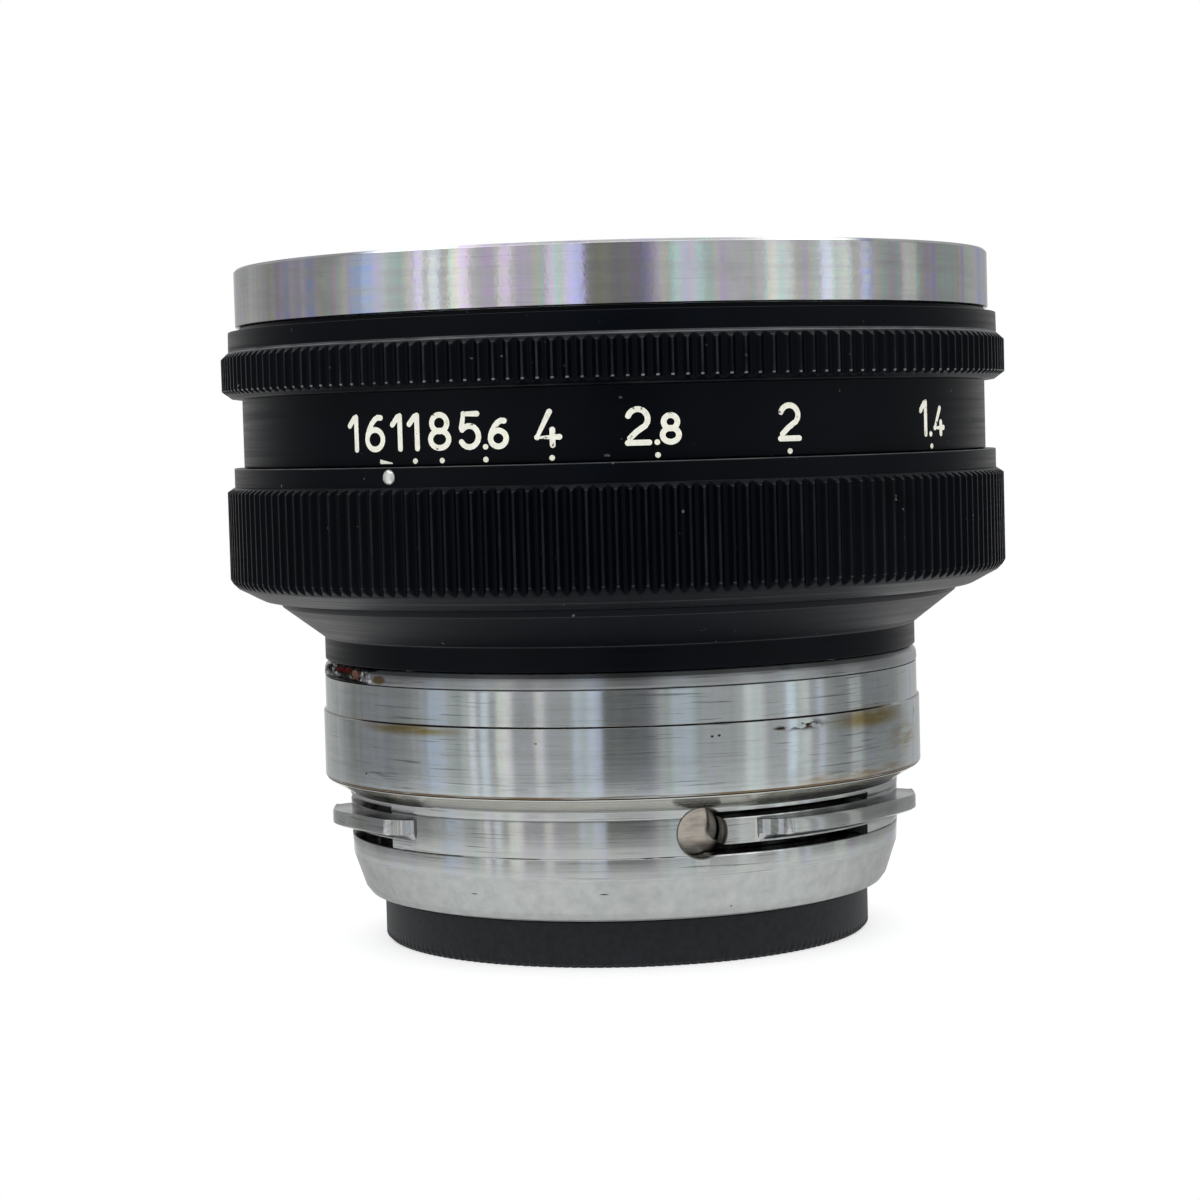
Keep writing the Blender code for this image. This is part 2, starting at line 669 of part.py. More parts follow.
def make_iris_cam_ring(material):
    """The slotted ring that swings the blades, and the collar that the drive screw enters."""
    rear, step, front = CAM_RING_Z
    outline = [(IRIS_OPEN_R, rear), (IRIS_PLATE_R, rear), (IRIS_PLATE_R, front),
               (CAM_COLLAR_BORE_R, front), (CAM_COLLAR_BORE_R, step), (IRIS_OPEN_R, step)]
    cam = turned("iris_cam_ring", outline, material)
    frame = radial_frame(DRIVE_SCREW_AZIMUTH, 0, DRIVE_SCREW_Z)
    boolean(cam, rod("cut_drive_hole", DRIVE_SCREW_R + GAP, CAM_COLLAR_BORE_R - 0.8,
                     IRIS_PLATE_R + 0.45, material, frame))
    place = (CAM_SLOT_R, 0, (rear + step) / 2)
    for number in range(BLADES):
        angle = math.radians(360 / BLADES * number + DRIVE_PIN_ANGLE)
        cutter = block_mesh(CAM_SLOT, place, angle)
        boolean(cam, finish(f"cut_cam_slot_{number + 1:02d}", cutter, material))


# ---- assembly -----------------------------------------------------------------------------
def main():
    clear_scene()
    black = make_material("black_anodised", (0.012, 0.014, 0.018), 0.42, 0.3)
    satin = make_material("satin_chrome", (0.62, 0.63, 0.64), 0.28, 1.0)
    aluminium = make_material("turned_aluminium", (0.66, 0.67, 0.68), 0.32, 1.0)
    matte = make_material("matte_black", (0.018, 0.020, 0.023), 0.75, 0.0)
    glass = make_material("optical_glass", (0.75, 0.80, 0.88), 0.03, 0.0)
    blade = make_material("blade_steel", (0.06, 0.06, 0.065), 0.45, 0.8)
    brass = make_material("brass", (0.70, 0.52, 0.22), 0.35, 1.0)
    screw = make_material("screw_steel", (0.48, 0.48, 0.50), 0.35, 1.0)
    paint = make_material("index_paint", (0.80, 0.79, 0.74), 0.45, 0.0)

    make_front_rim(satin)
    make_front_retaining_ring(matte)
    make_aperture_ring(black)
    make_drive_screw(screw)
    make_grip_ring(black)
    make_index_bead(paint)
    make_rear_housing(black)
    make_mount_collar(aluminium)
    make_mount_ring(aluminium)
    make_mount_screws(screw)
    make_bayonet_sleeve(aluminium)
    make_rear_guard_ring(matte)
    make_rear_cell(matte)
    make_rear_group_retainer(matte)
    make_inner_barrel(matte)
    make_element_spacer(matte)
    make_glass(glass)
    make_iris_base_plate(brass)
    make_iris_retaining_ring(brass)
    make_iris_cam_ring(brass)
    for number in range(BLADES):
        make_blade(number, blade)


main()
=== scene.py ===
import math

import bmesh
import bpy
import numpy as np
from mathutils import Matrix, Vector


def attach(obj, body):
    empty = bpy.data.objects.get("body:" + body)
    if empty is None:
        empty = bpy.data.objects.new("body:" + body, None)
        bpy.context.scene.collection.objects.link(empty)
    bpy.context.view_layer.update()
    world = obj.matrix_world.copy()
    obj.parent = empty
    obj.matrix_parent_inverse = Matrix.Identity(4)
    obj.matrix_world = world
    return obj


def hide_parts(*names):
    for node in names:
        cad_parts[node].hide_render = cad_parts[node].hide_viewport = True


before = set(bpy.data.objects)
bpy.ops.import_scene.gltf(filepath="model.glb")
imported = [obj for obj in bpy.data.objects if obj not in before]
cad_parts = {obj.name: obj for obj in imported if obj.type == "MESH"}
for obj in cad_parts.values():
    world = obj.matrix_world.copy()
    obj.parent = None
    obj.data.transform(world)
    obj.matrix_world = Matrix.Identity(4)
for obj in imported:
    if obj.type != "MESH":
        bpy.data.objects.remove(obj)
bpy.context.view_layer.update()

MM = 0.001
SIDES = 360
SHARP = math.radians(34)
BODY = "lens_body"
RING = "aperture_ring_unit"

# Sizes in mm; azimuths in degrees from -Y towards +X
RING_KNURL_R = 23.5
RING_FLUTES = 184
GRIP_KNURL_R = 23.35
GRIP_FLUTES = 186
GUARD_TEETH = 184
BAND_R = 22.3
BEAD_AZIMUTH, BEAD_HEIGHT = -32.35, 27.98
BEAD_R, BEAD_RISE = 0.39, 0.24
SLEEVE_R = 16.57
TONGUE_HOLE = (1.42, 7.72)  # radius and height
TONGUE_SPAN = 43.3
TONGUE_SLOTS = ((6.43, 6.99), (8.46, 8.85))  # lower and upper edge of each slot
# azimuths: free end of the tongue, low end of the lug, high end of the lug, ramp of the lug
TONGUES = ((15.1, 26.8, 92.1, "low"), (-97.5, -92.1, -46.3, "high"),
           (135.1, 146.8, 212.1, "low"))
LUG_R = 17.7
LUG_RAMP = 5.5
LUG_TAIL, LUG_DROP = 34.0, 0.45
NOTCH_AZIMUTH = -67
NOTCH_FLAT_R, NOTCH_LOW = 17.42, 16.08
BLADES, BLADE_PIVOT_R, BLADE_SWING = 15, 14.0, 41.0
BLADE_LOW, BLADE_LAYER, BLADE_THICK = 18.62, 0.11, 0.07
FLOOR_R = 50.0


# ---- places and curves
def place(azimuth, radius, height):
    """The point at an azimuth in degrees from -Y towards +X; radius and height in mm."""
    angle = math.radians(azimuth)
    return Vector((radius * math.sin(angle), -radius * math.cos(angle), height)) * MM


def rounded(outline, fillet=0.05, steps=3, keep=()):
    """Put a small fillet on each corner of a closed outline, apart from those in keep."""
    points = []
    count = len(outline)
    for i, corner in enumerate(outline):
        corner = np.array(corner, float)
        before = np.array(outline[i - 1], float) - corner
        after = np.array(outline[(i + 1) % count], float) - corner
        near, far = np.linalg.norm(before), np.linalg.norm(after)
        before, after = before / near, after / far
        angle = math.acos(float(np.clip(before @ after, -1, 1)))
        if i in keep or angle > math.radians(168):
            points.append(tuple(corner))
            continue
        cut = min(fillet / math.tan(angle / 2), 0.4 * near, 0.4 * far)
        start, end = corner + before * cut, corner + after * cut
        for step in range(steps + 1):
            t = step / steps
            points.append(tuple(start * (1 - t) ** 2 + corner * 2 * t * (1 - t) + end * t * t))
    return points


def smooth_mesh(mesh, sharp=SHARP):
    mesh.shade_smooth()
    mesh.set_sharp_from_angle(angle=sharp)


def solid_mesh(name, verts, faces, merge=False):
    """A mesh with its faces turned outwards, and doubled points merged if asked for."""
    mesh = bpy.data.meshes.new(name)
    mesh.from_pydata(verts, [], faces)
    bm = bmesh.new()
    bm.from_mesh(mesh)
    if merge:
        bmesh.ops.remove_doubles(bm, verts=bm.verts, dist=1e-7)
    bmesh.ops.recalc_face_normals(bm, faces=bm.faces)
    bm.to_mesh(mesh)
    bm.free()
    return mesh


def add_object(name, mesh, material, body=BODY):
    item = bpy.data.objects.new(name, mesh)
    bpy.context.scene.collection.objects.link(item)
    mesh.materials.append(material)
    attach(item, body)
    return item


def grid_arrays(radius, height, azimuths, closed):
    """Vertices and quads of a surface turned round Z: rows are the outline, columns go round."""
    rows, columns = radius.shape
    angle = np.radians(azimuths)[None, :]
    verts = np.stack([radius * np.sin(angle), -radius * np.cos(angle), height], -1)
    index = np.arange(rows * columns).reshape(rows, columns)
    last = rows if closed else rows - 1
    low = index[:last]
    high = np.roll(index, -1, axis=0)[:last]
    quads = np.stack([low, np.roll(low, -1, axis=1), np.roll(high, -1, axis=1), high], -1)
    return verts.reshape(-1, 3) * MM, quads.reshape(-1, 4)


def mesh_from(name, parts):
    """One mesh from several (vertices, quads) arrays, with its faces turned outwards."""
    verts, quads, offset = [], [], 0
    for part_verts, part_quads in parts:
        verts.append(part_verts)
        quads.append(part_quads + offset)
        offset += len(part_verts)
    mesh = solid_mesh(name, np.concatenate(verts).tolist(), np.concatenate(quads).tolist())
    smooth_mesh(mesh)
    return mesh


def turned_part(outline, sides=SIDES, shape=None, closed=True):
    """An outline turned round the axis; shape may change its radii and heights by azimuth."""
    azimuths = np.arange(sides) * 360 / sides
    points = np.array(outline, float)
    radius = np.repeat(points[:, :1], sides, axis=1)
    height = np.repeat(points[:, 1:], sides, axis=1)
    if shape:
        radius, height = shape(azimuths[None, :], radius, height)
    return grid_arrays(radius, height, azimuths, closed)


def turned(name, outline, material, sides=SIDES, fillet=0.05, shape=None):
    mesh = mesh_from(name, [turned_part(rounded(outline, fillet), sides, shape)])
    return add_object(name, mesh, material)


def fluted_part(outline, count, ridge_r, depth, ridge_share):
    """A band with concave flutes round it: the outline is cut by flutes of one depth."""
    half = 0.5 - ridge_share / 2
    steps = np.concatenate([[0.0], np.linspace(ridge_share / 2, 1 - ridge_share / 2, 12)])
    azimuths = (np.arange(count)[:, None] + steps[None, :]).reshape(-1) / count * 360
    across = (np.tile(steps, count) - 0.5) / half
    flute = ridge_r - depth * np.clip(1 - across ** 2, 0, 1)
    points = np.array(outline, float)
    radius = np.minimum(points[:, :1], flute[None, :])
    height = np.repeat(points[:, 1:], len(azimuths), axis=1)
    return grid_arrays(radius, height, azimuths, False)


def dense(points, gap):
    """Add points to an open outline so that no step is longer than gap."""
    result = [points[0]]
    for start, end in zip(points, points[1:]):
        length = math.dist(start, end)
        steps = max(1, math.ceil(length / gap))
        for step in range(1, steps + 1):
            t = step / steps
            result.append((start[0] + (end[0] - start[0]) * t, start[1] + (end[1] - start[1]) * t))
    return result


# ---- shader helpers
def add_node(tree, kind, inputs=None, **settings):
    node = tree.nodes.new(kind)
    for key, value in settings.items():
        setattr(node, key, value)
    for key, value in (inputs or {}).items():
        if isinstance(value, bpy.types.NodeSocket):
            tree.links.new(value, node.inputs[key])
        else:
            node.inputs[key].default_value = value
    return node


def math_node(tree, operation, first, second=0.0):
    return add_node(tree, "ShaderNodeMath", {0: first, 1: second}, operation=operation).outputs[0]


def times(tree, first, second):
    return math_node(tree, "MULTIPLY", first, second)


def off_from(tree, value, middle):
    """How far a value is from a middle one."""
    return math_node(tree, "ABSOLUTE", math_node(tree, "SUBTRACT", value, middle))


def combine(tree, x, y, z=0.0):
    return add_node(tree, "ShaderNodeCombineXYZ", {0: x, 1: y, 2: z}).outputs[0]


def remap(tree, value, low, high, out_low=0.0, out_high=1.0, smooth=False):
    node = add_node(tree, "ShaderNodeMapRange",
                    {"Value": value, "From Min": low, "From Max": high, "To Min": out_low,
                     "To Max": out_high},
                    interpolation_type="SMOOTHSTEP" if smooth else "LINEAR", clamp=True)
    return node.outputs["Result"]


def mix_colour(tree, factor, first, second):
    node = add_node(tree, "ShaderNodeMix", data_type="RGBA")
    for index, value in ((0, factor), (6, first), (7, second)):
        if isinstance(value, bpy.types.NodeSocket):
            tree.links.new(value, node.inputs[index])
        else:
            node.inputs[index].default_value = value if index == 0 else (*value, 1.0)
    return node.outputs[2]


def new_material(name, roughness=0.5, metallic=0.0):
    material = bpy.data.materials.new(name)
    material.use_nodes = True
    tree = material.node_tree
    shader = tree.nodes["Principled BSDF"]
    shader.inputs["Roughness"].default_value = roughness
    shader.inputs["Metallic"].default_value = metallic
    return material, tree, shader


def object_coords(tree):
    """Object space position, its parts, and the radius from the optical axis."""
    coords = add_node(tree, "ShaderNodeTexCoord").outputs["Object"]
    parts = add_node(tree, "ShaderNodeSeparateXYZ", {0: coords})
    flat = combine(tree, parts.outputs[0], parts.outputs[1])
    radius = add_node(tree, "ShaderNodeVectorMath", {0: flat}, operation="LENGTH")
    return coords, parts.outputs, radius.outputs["Value"]


def turning_vector(tree, parts, radius, around, along):
    """Coordinates that change slowly round the axis and fast along it, for turning marks."""
    level = times(tree, math_node(tree, "ADD", parts[2], radius), along)
    return combine(tree, times(tree, parts[0], around), times(tree, parts[1], around), level)


def around_vector(tree, parts, radius):
    """The direction from the axis, the same at every height and radius."""
    return combine(tree, *(math_node(tree, "DIVIDE", part, radius) for part in parts[:2]))


def noise(tree, vector, scale, detail=3.0, roughness=0.6):
    return add_node(tree, "ShaderNodeTexNoise",
                    {"Vector": vector, "Scale": scale, "Detail": detail, "Roughness": roughness}
                    ).outputs["Fac"]


def near(tree, coords, centre, size, edge=0.5):
    """1 near a point, falling to 0 at size from it; size in mm along x, y and z."""
    away = add_node(tree, "ShaderNodeVectorMath", {0: coords, 1: centre}, operation="SUBTRACT")
    scaled = add_node(tree, "ShaderNodeVectorMath",
                      {0: away.outputs[0], 1: [1 / (s * MM) for s in size]}, operation="MULTIPLY")
    length = add_node(tree, "ShaderNodeVectorMath", {0: scaled.outputs[0]}, operation="LENGTH")
    return remap(tree, length.outputs["Value"], 1.0, edge, smooth=True)


def bump(tree, shader, height, strength, distance):
    node = add_node(tree, "ShaderNodeBump",
                    {"Height": height, "Strength": strength, "Distance": distance * MM})
    tree.links.new(node.outputs[0], shader.inputs["Normal"])


def turned_gloss(tree, shader):
    """Highlights drawn out across fine marks that run round the axis."""
    tangent = add_node(tree, "ShaderNodeTangent", direction_type="RADIAL", axis="Z")
    tree.links.new(tangent.outputs[0], shader.inputs["Tangent"])
    shader.inputs["Anisotropic"].default_value = 1.0
    shader.inputs["Anisotropic Rotation"].default_value = 0.25


# ---- materials
def make_black(name, ridge_r=None, worn_grey=0.0, edges=()):
    """Black anodised metal: satin, with dust specks and ridges worn lighter; thin bands at given
    heights are lighter, and shoulders facing up beside the ridges get a painted highlight.

    An edge is its height, half its width, its brightness and the radius where it starts.
    """
    colour, rough = (0.0004, 0.0011, 0.0027), 0.34
    material, tree, shader = new_material(name, rough)
    coords, parts, radius = object_coords(tree)
    blotch = noise(tree, coords, 260, 4)
    tone = mix_colour(tree, remap(tree, blotch, 0.35, 0.7), colour,
                      tuple(c * 1.7 for c in colour))
    speck = remap(tree, noise(tree, coords, 2300, 1), 0.76, 0.8)
    rare = remap(tree, noise(tree, coords, 180, 1), 0.5, 0.62)
    tone = mix_colour(tree, times(tree, speck, rare), tone, DUST)
    if ridge_r:
        worn = remap(tree, radius, (ridge_r - 0.03) * MM, (ridge_r - 0.008) * MM)
        patchy = remap(tree, noise(tree, coords, 420, 4), 0.35, 0.62, 0.2, 1.0)
        each = remap(tree, noise(tree, around_vector(tree, parts, radius), 55, 3), 0.38, 0.66,
                     0.05, 1.4)
        grey = (worn_grey, worn_grey * 1.06, worn_grey * 1.12)
        tone = mix_colour(tree, times(tree, worn, times(tree, patchy, each)), tone, grey)
        # painted highlight: shoulders that face up, near the ridges, are made lighter
        facing = add_node(tree, "ShaderNodeNewGeometry")
        split = add_node(tree, "ShaderNodeSeparateXYZ", {0: facing.outputs["Normal"]})
        shoulder = remap(tree, split.outputs[2], 0.45, 0.7)
        outside = math_node(tree, "GREATER_THAN", radius, (ridge_r - 0.42) * MM)
        tone = mix_colour(tree, times(tree, shoulder, times(tree, outside, patchy)), tone,
                          SHOULDER_HIGHLIGHT)
    for height, half_wide, bright, start_r in edges:
        away = off_from(tree, parts[2], height * MM)
        line = remap(tree, away, half_wide * MM, half_wide * MM * 0.4)
        outside = math_node(tree, "GREATER_THAN", radius, start_r * MM)
        patchy = remap(tree, noise(tree, coords, 330, 4), 0.3, 0.65, 0.35, 1.0)
        line = times(tree, times(tree, line, outside), patchy)
        tone = mix_colour(tree, line, tone, (bright * 0.96, bright, bright * 1.02))
    tree.links.new(tone, shader.inputs["Base Color"])
    turn = noise(tree, turning_vector(tree, parts, radius, 40, 4200), 1.0, 3)
    tree.links.new(remap(tree, turn, 0.3, 0.75, rough - 0.05, rough + 0.1),
                   shader.inputs["Roughness"])
    bump(tree, shader, turn, 0.12, 0.01)
    shader.inputs["Specular IOR Level"].default_value = 0.08
    return material


def painted_rainbow_sheen(tree, parts, radius, colour, strength):
    """The metal's colour with a faint rainbow painted in round the axis: a painted sheen for the
    colours that very fine turning marks throw back.
    """
    hue = noise(tree, around_vector(tree, parts, radius), 9.0, 2, 0.7)
    ramp = add_node(tree, "ShaderNodeValToRGB", {0: hue})
    stops = ramp.color_ramp.elements
    stops.remove(stops[1])
    for number, (position, tint) in enumerate(PAINTED_RAINBOW_SHEEN):
        stop = stops.new(position) if number else stops[0]
        stop.position = position
        shade = [c * (1 + (share - 1) * strength) for c, share in zip(colour, tint)]
        stop.color = (*shade, 1.0)
    return ramp.outputs[0]


def make_metal(name, colour, rough, lines=0.25, stains_and_painted_light=(), dull_below=None, scratches=1.0,
               tint=0.35, grain=0.0, edge=0.8):
    """Turned light metal with turning lines, scratches, stains, painted shade and highlights, a
    painted rainbow sheen and perhaps a duller lower part.
    """
    material, tree, shader = new_material(name, rough, 1.0)
    shader.inputs["Specular Tint"].default_value = (edge, edge, edge, 1.0)
    coords, parts, radius = object_coords(tree)
    fine = noise(tree, turning_vector(tree, parts, radius, 45, 9000), 1.0, 4)
    broad = noise(tree, turning_vector(tree, parts, radius, 110, 1700), 1.0, 4)
    scratch = noise(tree, turning_vector(tree, parts, radius, 210, 9000), 1.0, 3)
    grime = noise(tree, coords, 330, 5)
    # the tone leans towards a painted rainbow sheen
    tone = mix_colour(tree, remap(tree, broad, 0.3, 0.7), tuple(c * 0.86 for c in colour),
                      painted_rainbow_sheen(tree, parts, radius, colour, tint))
    patch = remap(tree, grime, 0.5, 0.68, 0.0, 0.22)
    tone = mix_colour(tree, patch, tone, tuple(c * 0.45 for c in colour))
    cluster = remap(tree, noise(tree, coords, 130, 2), 0.42, 0.6, 0.25, 1.0)
    dark = times(tree, remap(tree, scratch, 0.60, 0.66, 0.0, 0.75 * scratches), cluster)
    tone = mix_colour(tree, dark, tone, tuple(c * 0.30 for c in colour))
    polish = remap(tree, fine, 0.3, 0.7, rough - 0.02, rough + 0.05)
    if dull_below:
        dull = remap(tree, parts[2], (dull_below + 0.08) * MM, (dull_below - 0.08) * MM)
        blotch = remap(tree, noise(tree, coords, 1300, 5), 0.3, 0.7, 0.92, 1.16)
        pale = add_node(tree, "ShaderNodeVectorMath", {0: colour, 3: blotch}, operation="SCALE")
        tone = mix_colour(tree, dull, tone, pale.outputs[0])
        polish = math_node(tree, "ADD", polish, times(tree, dull, 0.18))
    # stains, and also painted shade, painted highlights and a painted reflection, laid over the
    # tone
    for mask_maker, stain_and_light_colour in stains_and_painted_light:
        tone = mix_colour(tree, mask_maker(tree, coords, parts, radius), tone, stain_and_light_colour)
    tree.links.new(tone, shader.inputs["Base Color"])
    tree.links.new(polish, shader.inputs["Roughness"])
    rough_skin = times(tree, noise(tree, coords, 3200, 2), grain)
    bump(tree, shader, math_node(tree, "ADD", fine, rough_skin), lines, 0.012)
    turned_gloss(tree, shader)
    return material


def make_plain(name, colour, rough, metallic=0.0, scale=900, spread=0.35, specular=0.5,
               chips=None, painted_glow=0.0):
    """A lightly mottled surface for inner and small parts, perhaps with chips of a colour and
    perhaps a painted glow.
    """
    material, tree, shader = new_material(name, rough, metallic)
    shader.inputs["Specular IOR Level"].default_value = specular
    coords, parts, radius = object_coords(tree)
    mottle = noise(tree, coords, scale, 3)
    tone = mix_colour(tree, remap(tree, mottle, 0.3, 0.7), tuple(c * (1 - spread) for c in colour),
                      tuple(min(1.0, c * (1 + spread)) for c in colour))
    if chips:
        tone = mix_colour(tree, remap(tree, noise(tree, coords, 2600, 4), 0.62, 0.68), tone, chips)
    # painted glow: the tone is also given as emission
    if painted_glow:
        tree.links.new(tone, shader.inputs["Emission Color"])
        shader.inputs["Emission Strength"].default_value = painted_glow
    tree.links.new(tone, shader.inputs["Base Color"])
    turn = noise(tree, turning_vector(tree, parts, radius, 60, 6000), 1.0, 3)
    bump(tree, shader, turn, 0.15, 0.012)
    return material


def make_glass(name, ior, tint, coating):
    """Coated optical glass, a little uneven in its coating."""
    material, tree, shader = new_material(name, 0.0)
    coords, *_ = object_coords(tree)
    cloud = noise(tree, coords, 60, 2)
    tone = mix_colour(tree, remap(tree, cloud, 0.3, 0.7), (0.97, 0.98, 0.98), (0.94, 0.97, 0.99))
    tree.links.new(tone, shader.inputs["Base Color"])
    shader.inputs["IOR"].default_value = ior
    shader.inputs["Transmission Weight"].default_value = 1.0
    shader.inputs["Specular IOR Level"].default_value = coating
    shader.inputs["Specular Tint"].default_value = (*tint, 1.0)
    return material


def stain_and_light_patch(azimuth, height, half_wide, half_high, low=0.2, high=0.55, around=350):
    """A patch on the mount at one azimuth and height, broken up by noise; it lays stains, and also
    painted highlights and painted shade.
    """
    centre = place(azimuth, 18.0, height)

    def mask(tree, coords, parts, radius):
        area = near(tree, coords, centre, (half_wide, half_wide, half_high), 0.2)
        grain = noise(tree, turning_vector(tree, parts, radius, around, 2600), 1.0, 3)
        return times(tree, area, remap(tree, grain, low, high))
    return mask


def pit(azimuth, radius, height, half_wide, half_high):
    """One small dark pit or nick."""
    centre = place(azimuth, radius, height)

    def mask(tree, coords, parts, radius):
        return near(tree, coords, centre, (half_wide, half_wide, half_high), 0.5)
    return mask


def hole_line(azimuth):
    """Painted shade in a tongue's hole: its bore and a thin line round its edge are darkened."""
    hole_r, height = TONGUE_HOLE
    centre, size = place(azimuth, SLEEVE_R - 0.05, height), hole_r + 0.10

    def mask(tree, coords, parts, radius):
        return near(tree, coords, centre, (size, size, size), 0.97)
    return mask


def inner_tube_shade(limit):
    """Painted shade on everything nearer to the axis than a limit, as on the tube that lies inside
    the sleeve.
    """
    def mask(tree, coords, parts, radius):
        grain = noise(tree, turning_vector(tree, parts, radius, 900, 2200), 1.0, 4)
        inside = remap(tree, radius, limit * MM, (limit - 0.05) * MM)
        return times(tree, inside, remap(tree, grain, 0.25, 0.5, 0.85, 1.0))
    return mask


def hole_floor(azimuth):
    """The patch of the inner tube that shows through a tongue's hole, brownish grey over the
    painted shade.
    """
    hole_r, height = TONGUE_HOLE
    centre, size = place(azimuth - 1.5, 14.95, height), hole_r + 0.5

    def mask(tree, coords, parts, radius):
        grain = noise(tree, turning_vector(tree, parts, radius, 900, 2200), 1.0, 4)
        area = near(tree, coords, centre, (size, size, size), 0.75)
        return times(tree, area, remap(tree, grain, 0.25, 0.55, 0.55, 1.0))
    return mask


def ring_stain_and_light(height, half_high, low, high):
    """A band all the way round at one height; it lays stains, and also a painted reflection."""
    def mask(tree, coords, parts, radius):
        away = off_from(tree, parts[2], height * MM)
        area = remap(tree, away, half_high * MM, half_high * MM * 0.3, smooth=True)
        grain = noise(tree, turning_vector(tree, parts, radius, 260, 1800), 1.0, 3)
        return times(tree, area, remap(tree, grain, low, high))
    return mask


def notch_patch(azimuth, height, half_wide, half_high, low, high, scale=800):
    """A ragged patch in the collar's torn notch."""
    centre = place(azimuth, 17.45, height)

    def mask(tree, coords, parts, radius):
        area = near(tree, coords, centre, (half_wide, half_wide, half_high), 0.7)
        return times(tree, area, remap(tree, noise(tree, coords, scale, 4), low, high))
    return mask


# position along the noise, and the tint there, for the painted rainbow sheen
PAINTED_RAINBOW_SHEEN = ((0.30, (0.68, 0.86, 1.2)), (0.38, (0.80, 0.86, 1.22)), (0.43, (1.0, 0.86, 1.12)),
           (0.48, (1.0, 1.0, 1.0)), (0.53, (1.06, 1.03, 0.86)), (0.58, (0.84, 1.10, 1.02)),
           (0.64, (1.10, 0.92, 0.98)), (0.70, (0.76, 0.96, 1.2)))
DUST = (0.16, 0.165, 0.16)
# painted highlight colour for the black rings' upward-facing shoulders
SHOULDER_HIGHLIGHT = (0.020, 0.024, 0.027)
GOLD = (0.25, 0.20, 0.085)
TAN = (0.30, 0.22, 0.12)
UMBER = (0.15, 0.105, 0.06)
PIT = (0.030, 0.019, 0.011)
SHADOW = (0.012, 0.010, 0.010)
# painted highlight colour for the slot edges
PAINTED_HIGHLIGHT = (0.95, 0.95, 0.93)
SOOT = (0.035, 0.028, 0.025)
BURNT = (0.020, 0.012, 0.010)
RED_PAINT = (0.075, 0.010, 0.010)
CLAY = (0.20, 0.105, 0.075)
HOLE_LINE = (0.10, 0.095, 0.085)
HOLE_FLOOR = (0.34, 0.31, 0.27)
BARE = (0.9, 0.9, 0.9)
# painted reflection colour for the sleeve's flare
FLARE_REFLECTION = (0.86, 0.84, 0.77)
LUG_SHADE, BACK_LUG_SHADE = (0.06, 0.058, 0.042), (0.09, 0.085, 0.06)

# azimuth, radius, height, half width and half height of each pit
BAND_PITS = (
    (15.9, 18, 13.25, 0.13, 0.09), (17.2, 18, 13.28, 0.13, 0.09), (-15.4, 18, 13.1, 0.12, 0.05),
    (-12.9, 18, 12.95, 0.05, 0.18), (-55, 18, 10.9, 0.12, 0.1), (73, 18, 13.2, 0.14, 0.35),
)
SLEEVE_PITS = (
    (13.7, 16.55, 9.30, 0.10, 0.10), (15.4, 16.55, 9.38, 0.09, 0.09),
    (14.6, 16.55, 9.33, 0.06, 0.05), (-0.9, 16.5, 8.88, 0.11, 0.2),
    (-4.4, 16.1, 4.45, 0.36, 0.05), (13.4, 15.9, 3.75, 0.09, 0.10),
    (45.5, 16.25, 5.15, 0.10, 0.14), (-49.5, 16.25, 5.1, 0.10, 0.08),
    (8.2, 16.3, 5.2, 0.22, 0.06), (21.6, 15.9, 3.4, 0.07, 0.06), (-32.0, 16.1, 4.3, 0.3, 0.04),
    (88.0, 16.2, 4.9, 0.3, 0.08), (163.0, 16.2, 4.9, 0.3, 0.06), (-140.0, 16.2, 4.6, 0.2, 0.1),
)
black_ring = make_black("black_aperture_ring", ridge_r=RING_KNURL_R, worn_grey=0.028, edges=(
    (35.40, 0.10, 0.22, 22.9), (35.12, 0.06, 0.07, 23.38), (33.08, 0.09, 0.30, 23.44),
    (32.72, 0.05, 0.02, 22.6), (36.6, 0.03, 0.03, 22.9)))
black_grip = make_black("black_grip", ridge_r=GRIP_KNURL_R, worn_grey=0.014, edges=(
    (28.53, 0.045, 0.13, 22.8), (27.43, 0.04, 0.03, 22.8), (27.12, 0.04, 0.05, 23.28),
    (21.97, 0.05, 0.05, 23.3), (21.05, 0.04, 0.03, 21.8)))
black_housing = make_black("black_housing", edges=((18.4, 0.035, 0.05, 17.0),
                                                   (20.2, 0.03, 0.03, 20.0)))
matte_inner = make_plain("matte_black_inner", (0.010, 0.010, 0.011), 0.7)
matte_rear = make_plain("matte_black_rear", (0.0065, 0.0080, 0.0105), 0.6, scale=2600, spread=0.5,
                        specular=0.25)
rim_metal = make_metal("rim_metal", (0.66, 0.67, 0.68), 0.14, 0.12, scratches=0.25, tint=1.4,
                       grain=1.6, edge=0.6)
